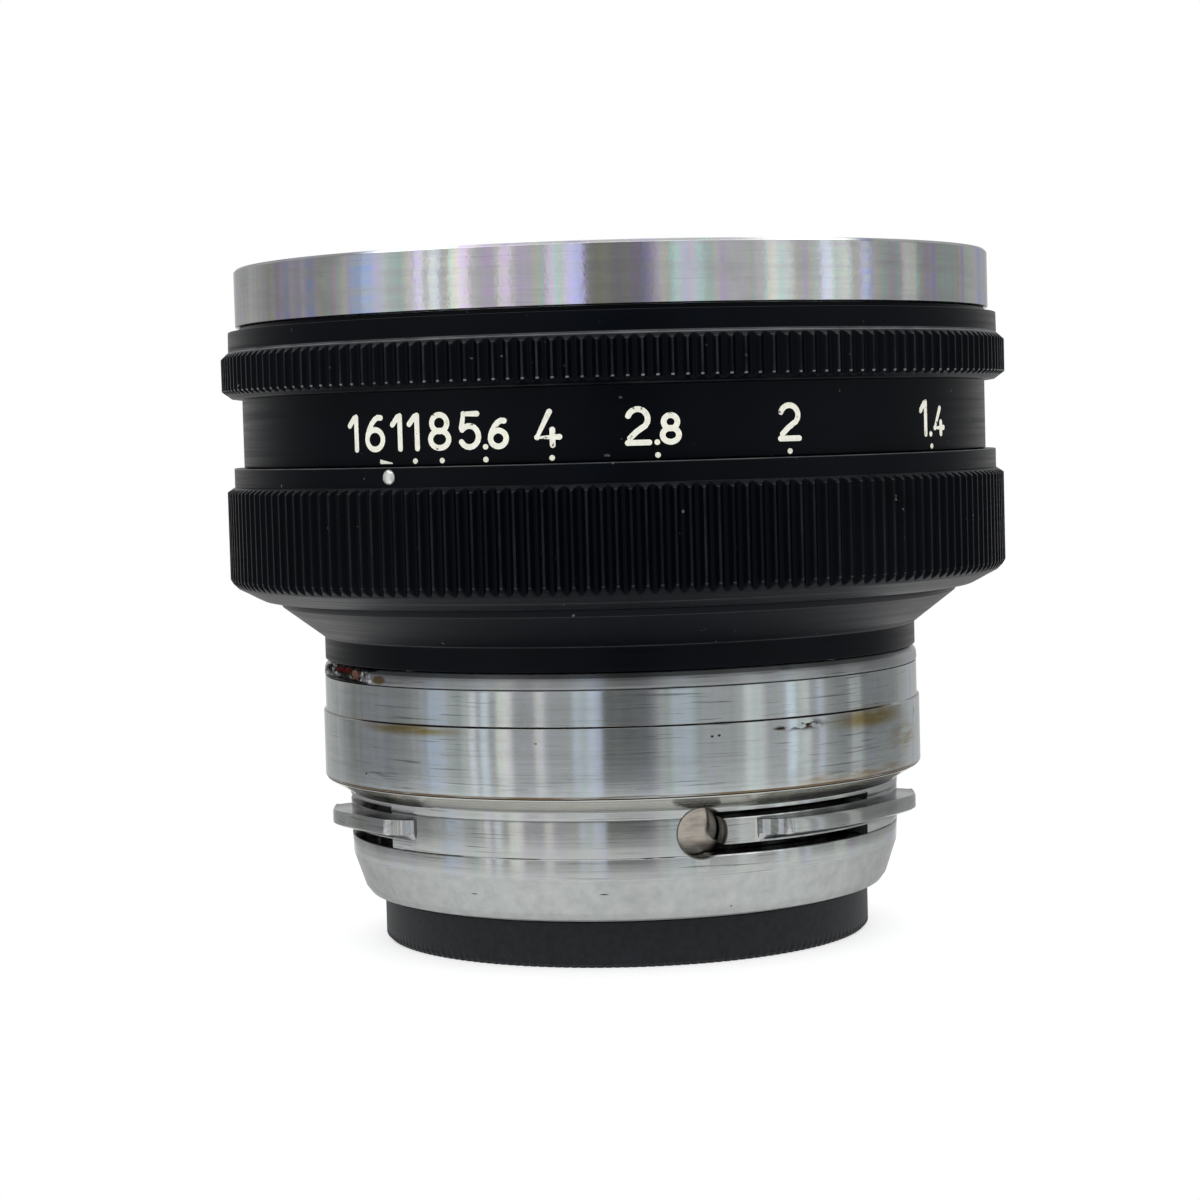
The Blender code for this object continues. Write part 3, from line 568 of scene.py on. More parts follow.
mount_metal = make_metal("mount_metal", (0.475, 0.51, 0.515), 0.13, 0.22, tint=0.35, stains_and_painted_light=(
    # painted shade on the inner tube, seen through the slots
    (inner_tube_shade(15.3), SHADOW),
    *((hole_floor(free_end), HOLE_FLOOR) for free_end, *_ in TONGUES),
    (stain_and_light_patch(-42, 13.68, 5.4, 0.46), GOLD),
    (stain_and_light_patch(52.5, 13.45, 4.9, 0.85, 0.12, 0.5), GOLD),
    (stain_and_light_patch(66, 11.9, 3.2, 1.1, 0.4, 0.6), GOLD),
    (stain_and_light_patch(48, 10.4, 7.5, 0.55, 0.35, 0.6), TAN),
    (stain_and_light_patch(-175, 13.6, 6.0, 0.5), GOLD),
    (ring_stain_and_light(10.06, 0.09, 0.25, 0.5), UMBER),
    (ring_stain_and_light(13.96, 0.05, 0.3, 0.5), UMBER),
    (stain_and_light_patch(34.0, 13.50, 2.2, 0.42, 0.46, 0.50, 900), PIT),
    (stain_and_light_patch(29.2, 13.42, 0.7, 0.14, 0.40, 0.46, 900), PIT),
    *((pit(*spot), PIT) for spot in BAND_PITS),
))
collar_metal = make_metal("collar_metal", (0.36, 0.375, 0.38), 0.3, 0.3, stains_and_painted_light=(
    (notch_patch(NOTCH_AZIMUTH, 16.5, 4.3, 0.60, 0.42, 0.47), SOOT),
    (notch_patch(-71, 16.62, 3.0, 0.30, 0.36, 0.44), BURNT),
    (notch_patch(-68, 16.60, 2.0, 0.17, 0.42, 0.48, 1200), RED_PAINT),
    (notch_patch(-61.5, 16.42, 0.75, 0.32, 0.38, 0.44, 1200), CLAY),
    (notch_patch(-59, 16.84, 2.6, 0.16, 0.2, 0.3), SHADOW),
    (notch_patch(-66, 16.05, 4.2, 0.13, 0.30, 0.36), SHADOW),
    (notch_patch(-54.3, 16.4, 0.45, 0.42, 0.2, 0.3), SHADOW),
    (pit(-53.4, 17.9, 16.24, 0.30, 0.13), BARE),
    (pit(-50.5, 17.9, 16.35, 0.8, 0.32), UMBER),
))
sleeve_metal = make_metal("sleeve_metal", (0.43, 0.447, 0.437), 0.13, 0.2, dull_below=5.3,
                          edge=0.55, stains_and_painted_light=(
    # painted shade in the tongue holes
    *((hole_line(free_end), HOLE_LINE) for free_end, *_ in TONGUES),
    (ring_stain_and_light(6.46, 0.05, 0.47, 0.52), PIT),
    *((pit(*spot), PIT) for spot in SLEEVE_PITS),
    # painted reflection: the flare is made pale cream, as if it mirrored the bright floor
    (ring_stain_and_light(9.55, 0.5, 0.0, 0.25), FLARE_REFLECTION),
    # painted highlights: near-white lines along the upper and lower edges of the slots
    (stain_and_light_patch(31, 8.43, 5.0, 0.07, 0.3, 0.5, 900), PAINTED_HIGHLIGHT),
    (stain_and_light_patch(24, 6.38, 5.0, 0.06, 0.3, 0.5, 900), PAINTED_HIGHLIGHT),
    (stain_and_light_patch(-52, 8.32, 2.2, 0.10, 0.3, 0.5, 900), PAINTED_HIGHLIGHT),
    (stain_and_light_patch(-80, 8.4, 6.0, 0.3, 0.3, 0.5, 900), LUG_SHADE),
    (stain_and_light_patch(150, 8.4, 5.0, 0.3, 0.4, 0.6, 900), BACK_LUG_SHADE),
))
brass = make_plain("turned_brass", (0.62, 0.44, 0.17), 0.35, 1.0, spread=0.12)
blade_steel = make_plain("blued_steel", (0.17, 0.17, 0.185), 0.45, 0.3, spread=0.2)
screw_steel = make_plain("screw_steel", (0.42, 0.42, 0.44), 0.35, 1.0, spread=0.15)
# the numerals' paint has a painted glow
cream_paint = make_plain("cream_paint", (0.93, 0.91, 0.79), 0.6, scale=5200, spread=0.12,
                         chips=(0.16, 0.15, 0.11), painted_glow=0.2)
bead_silver = make_plain("bead_silver", (0.80, 0.80, 0.78), 0.3, 0.6, scale=3000, spread=0.15)


# ---- front end
def thread_rows(radius, low, high, pitch, depth):
    """Outline points of fine thread ridges on an inner wall, from high down to low."""
    points, height = [], high
    while height - pitch > low:
        points += [(radius, height), (radius + depth, height - pitch / 2)]
        height -= pitch
    return points + [(radius, height)]


def make_front_rim():
    body = [(21.7, 36.72), (21.7, 36.9), (22.58, 36.9), (22.58, 40.14), (22.42, 40.3),
            (21.6, 40.3), (21.45, 40.1)]
    inner = thread_rows(21.45, 37.9, 39.9, 0.35, 0.18)
    tail = [(21.45, 37.45), (20.95, 37.45), (20.95, 36.72)]
    outline = rounded(body, 0.07, keep=(0, 1, 6)) + inner + tail
    item = add_object("rim", mesh_from("rim", [turned_part(outline)]), rim_metal)
    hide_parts("front_rim")


def make_retaining_ring():
    outline = [(18.05, 34.95), (19.55, 34.95), (19.55, 36.25), (20.9, 37.3), (20.9, 37.5),
               (21.35, 37.5), (21.35, 38.2)]
    cone = [(21.25, 38.25)]
    start, end = np.array((21.1, 38.05)), np.array((18.35, 35.98))
    grooves = 9
    for i in range(grooves + 1):
        spot = start + (end - start) * i / grooves
        cone.append(tuple(spot))
        if i < grooves:
            cone.append(tuple(start + (end - start) * (i + 0.5) / grooves + (0.045, -0.06)))
    item = add_object("name_ring", mesh_from("name_ring", [turned_part(outline + cone)]),
                      matte_inner)
    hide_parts("front_retaining_ring")


# ---- aperture ring
def make_aperture_ring():
    body = [(BAND_R, 28.6), (BAND_R, 32.6), (22.7, 32.66), (22.7, 35.35), (23.05, 35.42),
            (23.03, 36.6), (22.35, 36.62), (22.35, 36.86), (21.9, 36.86), (21.9, 36.62),
            (21.0, 36.62), (21.0, 32.85), (19.6, 32.85), (19.6, 21.5),
            (20.4, 21.5), (20.4, 28.6)]
    knurl = dense([(22.6, 32.62), (22.9, 32.66), (RING_KNURL_R, 33.1)], 0.09)
    knurl += dense([(RING_KNURL_R, 35.0), (23.07, 35.4), (22.6, 35.42)], 0.055)
    parts = [turned_part(rounded(body)),
             fluted_part(knurl, RING_FLUTES, RING_KNURL_R, 0.3, 0.13)]
    item = add_object("numbered_ring", mesh_from("numbered_ring", parts), black_ring, RING)
    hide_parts("aperture_ring")


# ---- grip
def make_grip():
    body = [(19.3, 20.65), (21.45, 20.65), (21.95, 20.9), (22.4, 21.15), (22.6, 21.27),
            (22.6, 27.42), (22.9, 27.43), (22.9, 28.55), (20.8, 28.55), (20.8, 21.3),
            (19.3, 21.3)]
    knurl = dense([(22.4, 21.15), (22.9, 21.4), (23.2, 21.7), (GRIP_KNURL_R, 21.95)], 0.07)
    knurl += dense([(GRIP_KNURL_R, 27.13), (22.9, 27.43), (22.5, 27.43)], 0.07)
    parts = [turned_part(rounded(body, keep=(2, 3, 4))),
             fluted_part(knurl, GRIP_FLUTES, GRIP_KNURL_R, 0.34, 0.16)]
    item = add_object("grip", mesh_from("grip", parts), black_grip)
    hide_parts("grip_ring")


def make_bead():
    """The domed index mark, with a slightly drawn-out upper end."""
    rings, sides = 8, 28
    verts, faces = [], []
    for i in range(rings + 1):
        turn = math.pi / 2 * i / rings
        for k in range(sides):
            angle = math.tau * k / sides
            across = BEAD_R * math.sin(turn)
            out = BEAD_RISE * math.cos(turn)
            side, up = across * math.cos(angle), across * math.sin(angle)
            up *= 1.16 if up > 0 else 1.0
            spot = place(BEAD_AZIMUTH, 22.88 + out, BEAD_HEIGHT + up)
            verts.append(spot + place(BEAD_AZIMUTH + 90, side, 0))
    for i in range(rings):
        for k in range(sides):
            nxt = (k + 1) % sides
            faces.append((i * sides + k, i * sides + nxt, (i + 1) * sides + nxt,
                          (i + 1) * sides + k))
    mesh = solid_mesh("index_dome", verts, faces, merge=True)
    smooth_mesh(mesh, math.radians(60))
    item = add_object("index_dome", mesh, bead_silver)
    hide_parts("index_bead")


# ---- housing and mount
def make_housing():
    outline = [(15.6, 17.0), (17.84, 17.0), (17.84, 18.33), (20.3, 20.2), (20.55, 20.6),
               (19.0, 20.6), (17.4, 18.8), (17.4, 18.05), (15.6, 18.05)]
    item = turned("housing", outline, black_housing)
    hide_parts("rear_housing")


def torn(azimuth, height):
    """A repeatable rough value from -1 to 1, for torn and dented metal."""
    return (np.sin(azimuth * 1.9 + height * 7.3) * 0.4
            + np.sin(azimuth * 0.83 - height * 11.1) * 0.3
            + np.sin(azimuth * 4.7 + height * 3.1) * 0.3)


def make_collar_and_ring():
    def notch(azimuth, radius, height):
        """The milled flat with torn edges that holds the mounting mark's paint."""
        off = (azimuth - NOTCH_AZIMUTH + 180) % 360 - 180
        flat = NOTCH_FLAT_R / np.maximum(np.cos(np.radians(off)), 0.5)
        rough = flat + 0.13 * torn(azimuth * 1.7, height)
        edge = 0.5 * torn(azimuth, height) + 13.6
        cut = (np.abs(off) < edge) & (height > NOTCH_LOW) & (radius > 17)
        return np.where(cut, np.minimum(radius, rough), radius), height

    profile = dense([(17.80, 16.01), (17.90, 16.07), (17.92, 16.2), (17.9, 16.5), (17.84, 16.66),
                     (17.62, 16.88)], 0.05)
    outline = [(15.65, 16.02), *profile, (15.65, 16.88)]
    collar = add_object("collar", mesh_from("collar", [turned_part(outline, 1440, notch)]),
                        collar_metal)
    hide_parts("mount_collar")
    outline = [(16.15, 10.0), (18.04, 10.0), (18.04, 13.9), (17.9, 14.0), (17.9, 16.0),
               (16.15, 16.0), (16.15, 14.4), (14.3, 14.4), (14.3, 4.9), (14.95, 4.9),
               (14.95, 12.6), (16.15, 12.6)]
    ring = turned("mount_band", outline, mount_metal)
    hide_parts("mount_ring")


# ---- bayonet sleeve
def sector_mesh(name, section, start, end, steps, limit=None, drop=None):
    """A closed section swept from one azimuth to another.

    It may have a radius limit and a drop in height, both as functions of the azimuth.
    """
    verts, faces, count = [], [], len(section)
    for i in range(steps + 1):
        azimuth = start + (end - start) * i / steps
        cap = limit(azimuth) if limit else math.inf
        sag = drop(azimuth) if drop else 0.0
        verts += [place(azimuth, min(r, cap), z - sag) for r, z in section]
    for i in range(steps):
        for k in range(count):
            nxt = (k + 1) % count
            faces.append((i * count + k, i * count + nxt, (i + 1) * count + nxt,
                          (i + 1) * count + k))
    faces += [tuple(range(count)), tuple(steps * count + k for k in range(count))]
    return solid_mesh(name, verts, faces)


def carve(item, mesh, operation):
    """Cut a mesh out of an object, or add it, and keep the result as the object's own mesh."""
    tool = bpy.data.objects.new("tool", mesh)
    bpy.context.scene.collection.objects.link(tool)
    modifier = item.modifiers.new("carve", "BOOLEAN")
    modifier.operation, modifier.solver, modifier.object = operation, "EXACT", tool
    bpy.context.view_layer.update()
    evaluated = item.evaluated_get(bpy.context.evaluated_depsgraph_get())
    result = bpy.data.meshes.new_from_object(evaluated)
    item.modifiers.clear()
    item.data = result
    bpy.data.objects.remove(tool)


def drill_mesh(azimuth, height, radius, start, end, sides=48):
    """A rod that points outwards at one azimuth, from one radius to another."""
    bm = bmesh.new()
    bmesh.ops.create_cone(bm, cap_ends=True, segments=sides, radius1=radius * MM,
                          radius2=radius * MM, depth=(end - start) * MM)
    bmesh.ops.translate(bm, verts=bm.verts, vec=(0, 0, (start + end) / 2 * MM))
    outwards = place(azimuth, 1.0, 0.0).normalized()
    turn = Vector((0, 0, 1)).rotation_difference(outwards).to_matrix().to_4x4()
    bmesh.ops.transform(bm, verts=bm.verts,
                        matrix=Matrix.Translation((0, 0, height * MM)) @ turn)
    mesh = bpy.data.meshes.new("drill")
    bm.to_mesh(mesh)
    bm.free()
    return mesh


def make_sleeve():
    """The sleeve: holes first, then slots, and the lugs last, because a lug spoils later cuts."""
    outline = [(12.9, 2.7), (14.85, 2.7), (15.55, 2.9), (15.85, 3.3), (16.52, 5.3),
               (16.55, 6.4), (16.50, 6.45), (16.55, 6.5), (SLEEVE_R, 8.52), (16.52, 8.57),
               (16.59, 8.62), (16.60, 9.05), (16.72, 9.17), (17.9, 9.86), (18.0, 9.95),
               (16.05, 9.95), (16.05, 12.4), (15.15, 12.4), (15.15, 4.6), (12.9, 4.3)]
    sleeve = turned("sleeve", outline, sleeve_metal, fillet=0.06)
    section = [(15.8, 7.0), (16.5, 7.05), (17.6, 7.40), (LUG_R, 7.48), (LUG_R, 8.12),
               (17.62, 8.28), (17.45, 8.26), (16.6, 8.34), (15.8, 8.34)]
    hole_r, hole_height = TONGUE_HOLE
    for free_end, *_ in TONGUES:
        carve(sleeve, drill_mesh(free_end, hole_height, hole_r, 13.5, 19.0), "DIFFERENCE")
    for free_end, *_ in TONGUES:
        for bottom, top in TONGUE_SLOTS:
            slot = [(14.0, bottom), (19.0, bottom), (19.0, top), (14.0, top)]
            carve(sleeve, sector_mesh("slot", slot, free_end, free_end + TONGUE_SPAN, 40),
                  "DIFFERENCE")
    for _, low, high, ramp in TONGUES:
        foot = low if ramp == "low" else high

        def limit(azimuth, foot=foot):
            past = abs(azimuth - foot) / LUG_RAMP
            rough = 0.05 * torn(azimuth * 3, 0) if past < 1.1 else 0.0
            return SLEEVE_R + 0.1 + (LUG_R - SLEEVE_R) * past + rough

        def drop(azimuth, tail=low + high - foot):
            share = max(0.0, 1 - abs(azimuth - tail) / LUG_TAIL)
            return LUG_DROP * share * share * (3 - 2 * share)

        carve(sleeve, sector_mesh("lug", section, low, high, 110, limit, drop), "UNION")
    smooth_mesh(sleeve.data)
    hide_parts("bayonet_sleeve")


# ---- rear group
def make_rear():
    outline = [(11.0, 0.0), (14.45, 0.0), (14.67, 0.22), (14.67, 2.64), (12.85, 2.64),
               (12.85, 0.85), (10.7, 0.85), (10.7, 0.3)]

    def teeth(azimuth, radius, height):
        """Fine teeth along the lower outer edge."""
        edge = (radius > 14.2) & (height < 0.5)
        cut = 0.09 * (np.sin(np.radians(azimuth * GUARD_TEETH)) > 0.1)
        return np.where(edge, radius - cut * np.clip((0.5 - height) / 0.3, 0, 1), radius), height

    item = turned("rear_guard", dense(outline + outline[:1], 0.3)[:-1], matte_rear, fillet=0.06,
                  shape=teeth, sides=GUARD_TEETH * 6)
    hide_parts("rear_guard_ring")
    outline = [(9.8, 0.95), (12.75, 0.95), (12.75, 14.7), (15.55, 14.9), (15.55, 16.9),
               (10.9, 16.9), (10.9, 2.85), (9.8, 2.65)]
    item = turned("rear_tube", outline, matte_inner)
    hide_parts("rear_cell")


# ---- glass
def arc_points(vertex_z, curvature_r, semi, steps=24):
    """Points of a lens surface from the axis to its edge at semi."""
    points = []
    for step in range(steps + 1):
        radius = semi * step / steps
        sag = abs(curvature_r) - math.sqrt(curvature_r ** 2 - radius ** 2)
        points.append((radius, vertex_z - math.copysign(sag, curvature_r)))
    return points


def glass_mesh(name, front, rear, sides=128):
    """A lens element from its front points, axis to edge, and its rear points, edge to axis."""
    outline = front[1:] + rear[:-1]
    verts, quads = turned_part(outline, sides, closed=False)
    verts = np.concatenate([verts, [[0, 0, front[0][1] * MM], [0, 0, rear[-1][1] * MM]]])
    tip, tail = len(verts) - 2, len(verts) - 1
    last = (len(outline) - 1) * sides
    faces = quads.tolist()
    for k in range(sides):
        nxt = (k + 1) % sides
        faces += [(tip, nxt, k), (tail, last + k, last + nxt)]
    mesh = solid_mesh(name, verts.tolist(), faces)
    smooth_mesh(mesh)
    return mesh


def make_glass_elements():
    tints = {"front": ((0.09, 0.11, 0.21), 0.10), "inner": ((0.14, 0.10, 0.06), 0.04)}
    # number, then vertex height and curvature in front and behind, edge radius, index, coating
    rows = (
        (1, (39.4, 38), (35.2, 130), 18.4, 1.67, "front"),
        (2, (34.9, 22), (29.7, 60), 15.2, 1.67, "front"),
        (3, (29.65, 60), (26.7, -150), 14.0, 1.6, "inner"),
        (4, (26.65, -150), (25.3, 15), 12.0, 1.6, "inner"),
        (5, (16.9, 95), (15.6, 14), 10.8, 1.6, "inner"),
        (6, (15.55, 14), (5.2, -22), 10.8, 1.6, "inner"),
        (7, (5.15, -22), (1.8, -50), 10.8, 1.67, "front"),
    )
    for number, front, rear, semi, ior, tint in rows:
        name = f"glass_{number}"
        front_points = arc_points(*front, semi)
        rear_semi = 10.3 if number == 4 else semi
        rear_points = arc_points(*rear, rear_semi)[::-1]
        if number == 4:
            rear_points.insert(0, (semi, rear_points[0][1]))
        mesh = glass_mesh(name, front_points, rear_points)
        item = add_object(name, mesh, make_glass(f"coated_glass_{number}", ior, *tints[tint]))
        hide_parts(f"lens_element_{number}")


# ---- numerals
def arc(cx, cy, rx, ry, start, end, steps=14):
    """Points of an elliptical arc, with its ends in degrees."""
    return [(cx + rx * math.cos(math.radians(start + (end - start) * i / steps)),
             cy + ry * math.sin(math.radians(start + (end - start) * i / steps)))
            for i in range(steps + 1)]


# Strokes of each digit in a box that is 1 high; x runs to the right from the middle.
GLYPHS = {
    "1": [[(-0.22, 0.74), (-0.02, 0.97), (0.06, 1.0), (0.06, 0.0)]],
    "2": [arc(0.0, 0.70, 0.30, 0.30, 160, -20) + [(0.22, 0.50), (-0.05, 0.32), (-0.24, 0.14),
                                                 (-0.31, 0.0), (0.33, 0.0)]],
    "4": [[(0.06, 1.0), (-0.33, 0.24), (0.35, 0.24)], [(0.14, 0.46), (0.14, 0.0)]],
    "5": [[(0.26, 1.0), (-0.18, 1.0), (-0.25, 0.58)]
          + arc(0.0, 0.32, 0.30, 0.32, 140, -150)],
    "6": [[(0.24, 0.96), (0.12, 0.97), (0.0, 0.91), (-0.12, 0.78), (-0.22, 0.62),
           (-0.29, 0.45), (-0.31, 0.31)],
          arc(0.0, 0.30, 0.31, 0.30, 0, 360, 26)],
    "8": [arc(0.0, 0.75, 0.26, 0.25, 0, 360, 24), arc(0.0, 0.26, 0.31, 0.26, 0, 360, 26)],
}
BIG, SMALL = 1.78, 1.42
BASELINE = 29.53
STROKE = 0.31
DOT, DOT_HEIGHT = 0.3, 28.85
PAINT_R = BAND_R + 0.012
# digit, azimuth and size; then the azimuths of the decimal points and of the dots below
NUMERALS = (
    ("1", -39.5, BIG), ("6", -35.75, BIG), ("1", -31.6, BIG), ("1", -28.75, BIG),
    ("8", -24.9, BIG), ("5", -20.35, BIG), ("6", -16.1, SMALL), ("4", -9.1, BIG),
    ("2", 3.25, BIG), ("8", 7.75, SMALL), ("2", 25.0, BIG), ("1", 51.0, BIG),
    ("4", 55.0, SMALL),
)
POINTS = (-18.0, 5.85, 52.6)
MARKS = (-28.9, -24.6, -18.0, -8.6, 5.9, 25.0, 52.8)


def ribbon(points, width, sides=16):
    """Outline strip of a stroke with round ends, as 2-D vertices and faces."""
    points = np.array(points, float)
    ahead = np.gradient(points, axis=0)
    ahead /= np.linalg.norm(ahead, axis=1)[:, None]
    side = np.stack([-ahead[:, 1], ahead[:, 0]], -1) * width / 2
    verts = [*(points + side), *(points - side)]
    count = len(points)
    faces = [(i, i + 1, count + i + 1, count + i) for i in range(count - 1)]
    for spot in points:
        first = len(verts)
        verts += [spot + width / 2 * np.array((math.cos(math.tau * k / sides),
                                               math.sin(math.tau * k / sides)))
                  for k in range(sides)]
        faces.append(tuple(range(first, first + sides)))
    return verts, faces


def make_numerals():
    verts, faces = [], []

    def put(shape_verts, shape_faces, azimuth, height, lift):
        offset = len(verts)
        for x, y in shape_verts:
            turn = math.degrees(x / PAINT_R)
            verts.append(place(azimuth + turn, PAINT_R + lift, height + y))
        faces.extend(tuple(offset + i for i in face) for face in shape_faces)

    for digit, azimuth, size in NUMERALS:
        for number, stroke in enumerate(GLYPHS[digit]):
            path = [(x * size, y * size) for x, y in stroke]
            put(*ribbon(path, STROKE), azimuth, BASELINE, 0.001 * number)
    dots = [(azimuth, BASELINE) for azimuth in POINTS]
    dots += [(azimuth, DOT_HEIGHT) for azimuth in MARKS]
    for azimuth, height in dots:
        put(*ribbon([(0, 0), (0.01, 0)], DOT), azimuth, height, 0)
    wedge = [(-0.43, 0.12), (-0.46, -0.05), (-0.40, -0.13), (0.42, -0.13), (0.42, -0.08)]
    put(wedge, [(0, 1, 2, 3, 4)], -33.8, 28.86, 0)
    mesh = bpy.data.meshes.new("f_numbers")
    mesh.from_pydata(verts, [], faces)
    bm = bmesh.new()
    bm.from_mesh(mesh)
    for face in bm.faces:
        if face.normal.xy.dot(face.calc_center_median().xy) < 0:
            face.normal_flip()
    bm.to_mesh(mesh)
    bm.free()
    item = add_object("f_numbers", mesh, cream_paint, RING)


# ---- iris
def make_blades():
    """Crescent blades, each turned about its pivot and one layer above the last."""
    inner, outer, start, end, steps = 10.7, 13.5, 3.0, 141.0, 48
    outline = arc(0, 0, outer, outer, start, end, steps)
    outline += arc(0, 0, inner, inner, end, start, steps)
    for k in range(BLADES):
        azimuth = 360 / BLADES * k
        turn = Matrix.Rotation(math.radians(azimuth + BLADE_SWING), 4, "Z")
        pivot = Vector((BLADE_PIVOT_R * math.cos(math.radians(azimuth)),
                        BLADE_PIVOT_R * math.sin(math.radians(azimuth)),
                        BLADE_LOW + BLADE_LAYER * k))
        bm = bmesh.new()
        half = len(outline) // 2
        rows = []
        for level in (0.0, BLADE_THICK):
            rows.append([bm.verts.new((pivot + turn @ Vector((x - BLADE_PIVOT_R, y, level))) * MM)
                         for x, y in outline])
        for i in range(half - 1):
            far = len(outline) - 1 - i
            bm.faces.new((rows[0][i], rows[0][i + 1], rows[0][far - 1], rows[0][far]))
            bm.faces.new((rows[1][i], rows[1][far], rows[1][far - 1], rows[1][i + 1]))
        for i in range(len(outline)):
            nxt = (i + 1) % len(outline)
            bm.faces.new((rows[0][i], rows[1][i], rows[1][nxt], rows[0][nxt]))
        bmesh.ops.recalc_face_normals(bm, faces=bm.faces)
        name = f"blade_{k + 1:02d}"
        mesh = bpy.data.meshes.new(name)
        bm.to_mesh(mesh)
        bm.free()
        smooth_mesh(mesh)
        body = f"iris_{name}"
        item = add_object(name, mesh, blade_steel, body)
        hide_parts(body)


# ---- CAD nodes that stay
def dress_cad_nodes():
    looks = {
        "inner_barrel": matte_inner, "element_spacer": matte_inner,
        "rear_group_retainer": matte_inner, "iris_base_plate": brass,
        "iris_retaining_ring": matte_inner, "iris_cam_ring": brass,
        "aperture_drive_screw": screw_steel, "mount_screw_1": screw_steel,
        "mount_screw_2": screw_steel, "mount_screw_3": screw_steel,
        "mount_screw_4": screw_steel,
    }
    for name, material in looks.items():
        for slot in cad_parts[name].material_slots:
            slot.material = material


# ---- studio
# The light: a pale room, darker behind the camera, with soft upright panels round it.
TOP_LIGHT, ZENITH_LIGHT = 2.7, 0.75
FRONT_LIGHT, ROOM_LIGHT, SIDE_LIGHT, BACK_LIGHT = 0.22, 0.58, 0.37, 0.66
COOL, PLAIN, WARM = (0.93, 1.0, 1.08), (1.0, 1.0, 1.0), (1.04, 1.0, 0.95)
# azimuth of a panel's middle, half its width in degrees, its brightness and its tint
PANELS = (
    (-74, 4.5, 0.76, COOL), (-62, 1.5, 0.74, PLAIN), (-58, 1.6, 1.15, PLAIN),
    (-53, 1.6, 1.2, COOL), (-45, 3.2, 1.15, WARM), (-31, 1.6, 1.1, WARM), (-13, 5.5, 0.86, COOL),
    (23, 4.5, 0.76, COOL), (51, 4.5, 0.95, PLAIN), (67, 2.2, 1.15, COOL), (73, 2.6, 0.94, PLAIN),
    (81, 1.6, 0.88, PLAIN), (100, 3.5, 0.68, PLAIN),
)


def make_room(tree, turn):
    """Brightness of the room by azimuth, in degrees from the camera's side."""
    away = math_node(tree, "ABSOLUTE", turn)
    level = remap(tree, away, 8, 16, FRONT_LIGHT, ROOM_LIGHT, smooth=True)
    for low, high, start, end in ((80, 92, ROOM_LIGHT, SIDE_LIGHT),
                                  (122, 145, SIDE_LIGHT, BACK_LIGHT)):
        step = remap(tree, away, low, high, 0.0, end - start, smooth=True)
        level = math_node(tree, "ADD", level, step)
    room = combine(tree, level, level, level)
    for middle, half_width, bright, tint in PANELS:
        off = off_from(tree, turn, middle)
        inside = remap(tree, off, half_width + 0.35, half_width - 0.35, smooth=True)
        room = mix_colour(tree, inside, room, tuple(bright * share for share in tint))
    return room


def unevenness(tree, turn):
    """Fine upright unevenness of the room's light."""
    angle = math_node(tree, "RADIANS", turn)
    ring = combine(tree, math_node(tree, "COSINE", angle), math_node(tree, "SINE", angle))
    return remap(tree, noise(tree, ring, 22, 4, 0.7), 0.3, 0.7, 0.80, 1.20)


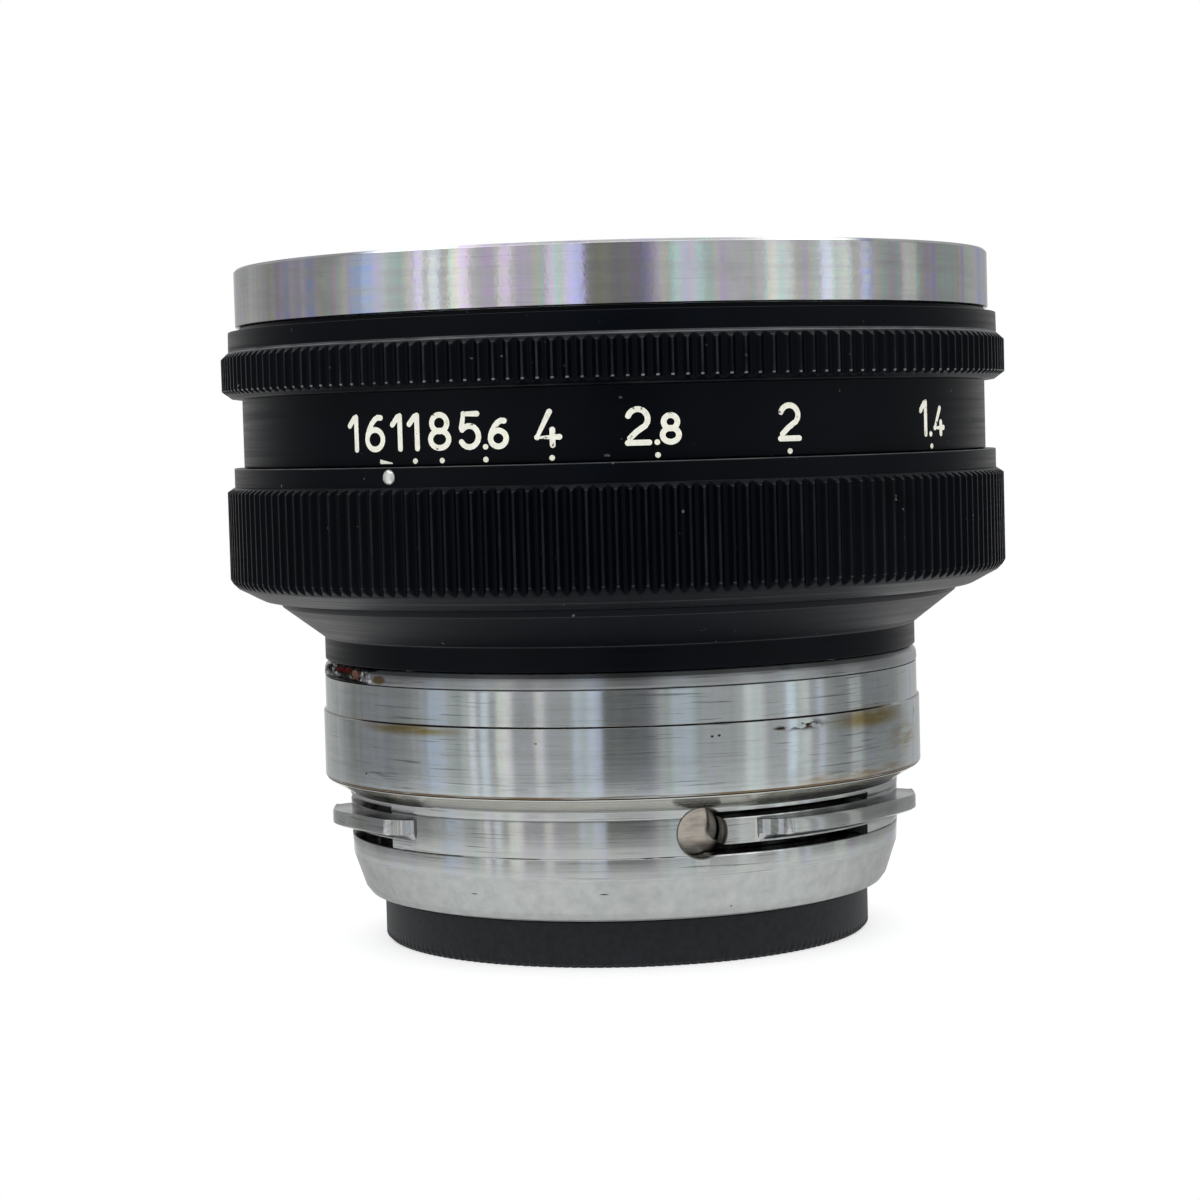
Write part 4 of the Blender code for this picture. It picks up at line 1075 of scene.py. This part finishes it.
def make_world():
    world = bpy.data.worlds.new("studio")
    bpy.context.scene.world = world
    world.use_nodes = True
    tree = world.node_tree
    tree.nodes.clear()
    direction = add_node(tree, "ShaderNodeTexCoord").outputs["Generated"]
    parts = add_node(tree, "ShaderNodeSeparateXYZ", {0: direction}).outputs
    back = times(tree, parts[1], -1.0)
    turn = math_node(tree, "DEGREES", math_node(tree, "ARCTAN2", parts[0], back))
    up = remap(tree, parts[2], 0.72, 0.80, smooth=True)
    zenith = remap(tree, parts[2], 0.86, 0.94, smooth=True)
    room = add_node(tree, "ShaderNodeVectorMath",
                    {0: make_room(tree, turn), 3: unevenness(tree, turn)}, operation="SCALE")
    sky = mix_colour(tree, up, room.outputs[0], (TOP_LIGHT,) * 3)
    sky = mix_colour(tree, zenith, sky, (ZENITH_LIGHT,) * 3)
    light = add_node(tree, "ShaderNodeBackground", {"Color": sky, "Strength": 1.0})
    plain = add_node(tree, "ShaderNodeBackground",
                     {"Color": (1.0, 1.0, 1.0, 1.0), "Strength": 1.0})
    path = add_node(tree, "ShaderNodeLightPath")
    mix = add_node(tree, "ShaderNodeMixShader",
                   {0: path.outputs["Is Camera Ray"], 1: light.outputs[0], 2: plain.outputs[0]})
    output = add_node(tree, "ShaderNodeOutputWorld")
    tree.links.new(mix.outputs[0], output.inputs[0])


def make_floor():
    bpy.ops.mesh.primitive_circle_add(vertices=96, radius=FLOOR_R * MM, fill_type="NGON")
    floor = bpy.context.object
    floor.name = "floor"
    material, tree, shader = new_material("pale_floor", 0.8)
    shader.inputs["Base Color"].default_value = (0.70, 0.70, 0.70, 1.0)
    shader.inputs["Emission Color"].default_value = (1.0, 1.0, 1.0, 1.0)
    shader.inputs["Emission Strength"].default_value = 0.55
    floor.data.materials.append(material)


CAMERA_SPOT = (0, -0.17916, 0.03033)
CAMERA_PAN, CAMERA_DOWN, CAMERA_ROLL = 0.363, 3.322, -1.574


def make_camera():
    data = bpy.data.cameras.new("camera")
    data.lens = 88.54
    data.sensor_width = 36.0
    data.clip_start = 0.01
    item = bpy.data.objects.new("camera", data)
    item.matrix_world = (Matrix.Translation(CAMERA_SPOT)
                         @ Matrix.Rotation(math.radians(CAMERA_PAN), 4, "Z")
                         @ Matrix.Rotation(math.radians(90 - CAMERA_DOWN), 4, "X")
                         @ Matrix.Rotation(math.radians(CAMERA_ROLL), 4, "Z"))
    bpy.context.scene.collection.objects.link(item)
    bpy.context.scene.camera = item


make_front_rim()
make_retaining_ring()
make_aperture_ring()
make_numerals()
make_grip()
make_bead()
make_housing()
make_collar_and_ring()
make_sleeve()
make_rear()
make_glass_elements()
make_blades()
dress_cad_nodes()
make_world()
make_floor()
make_camera()
bpy.context.scene.view_settings.view_transform = "Standard"
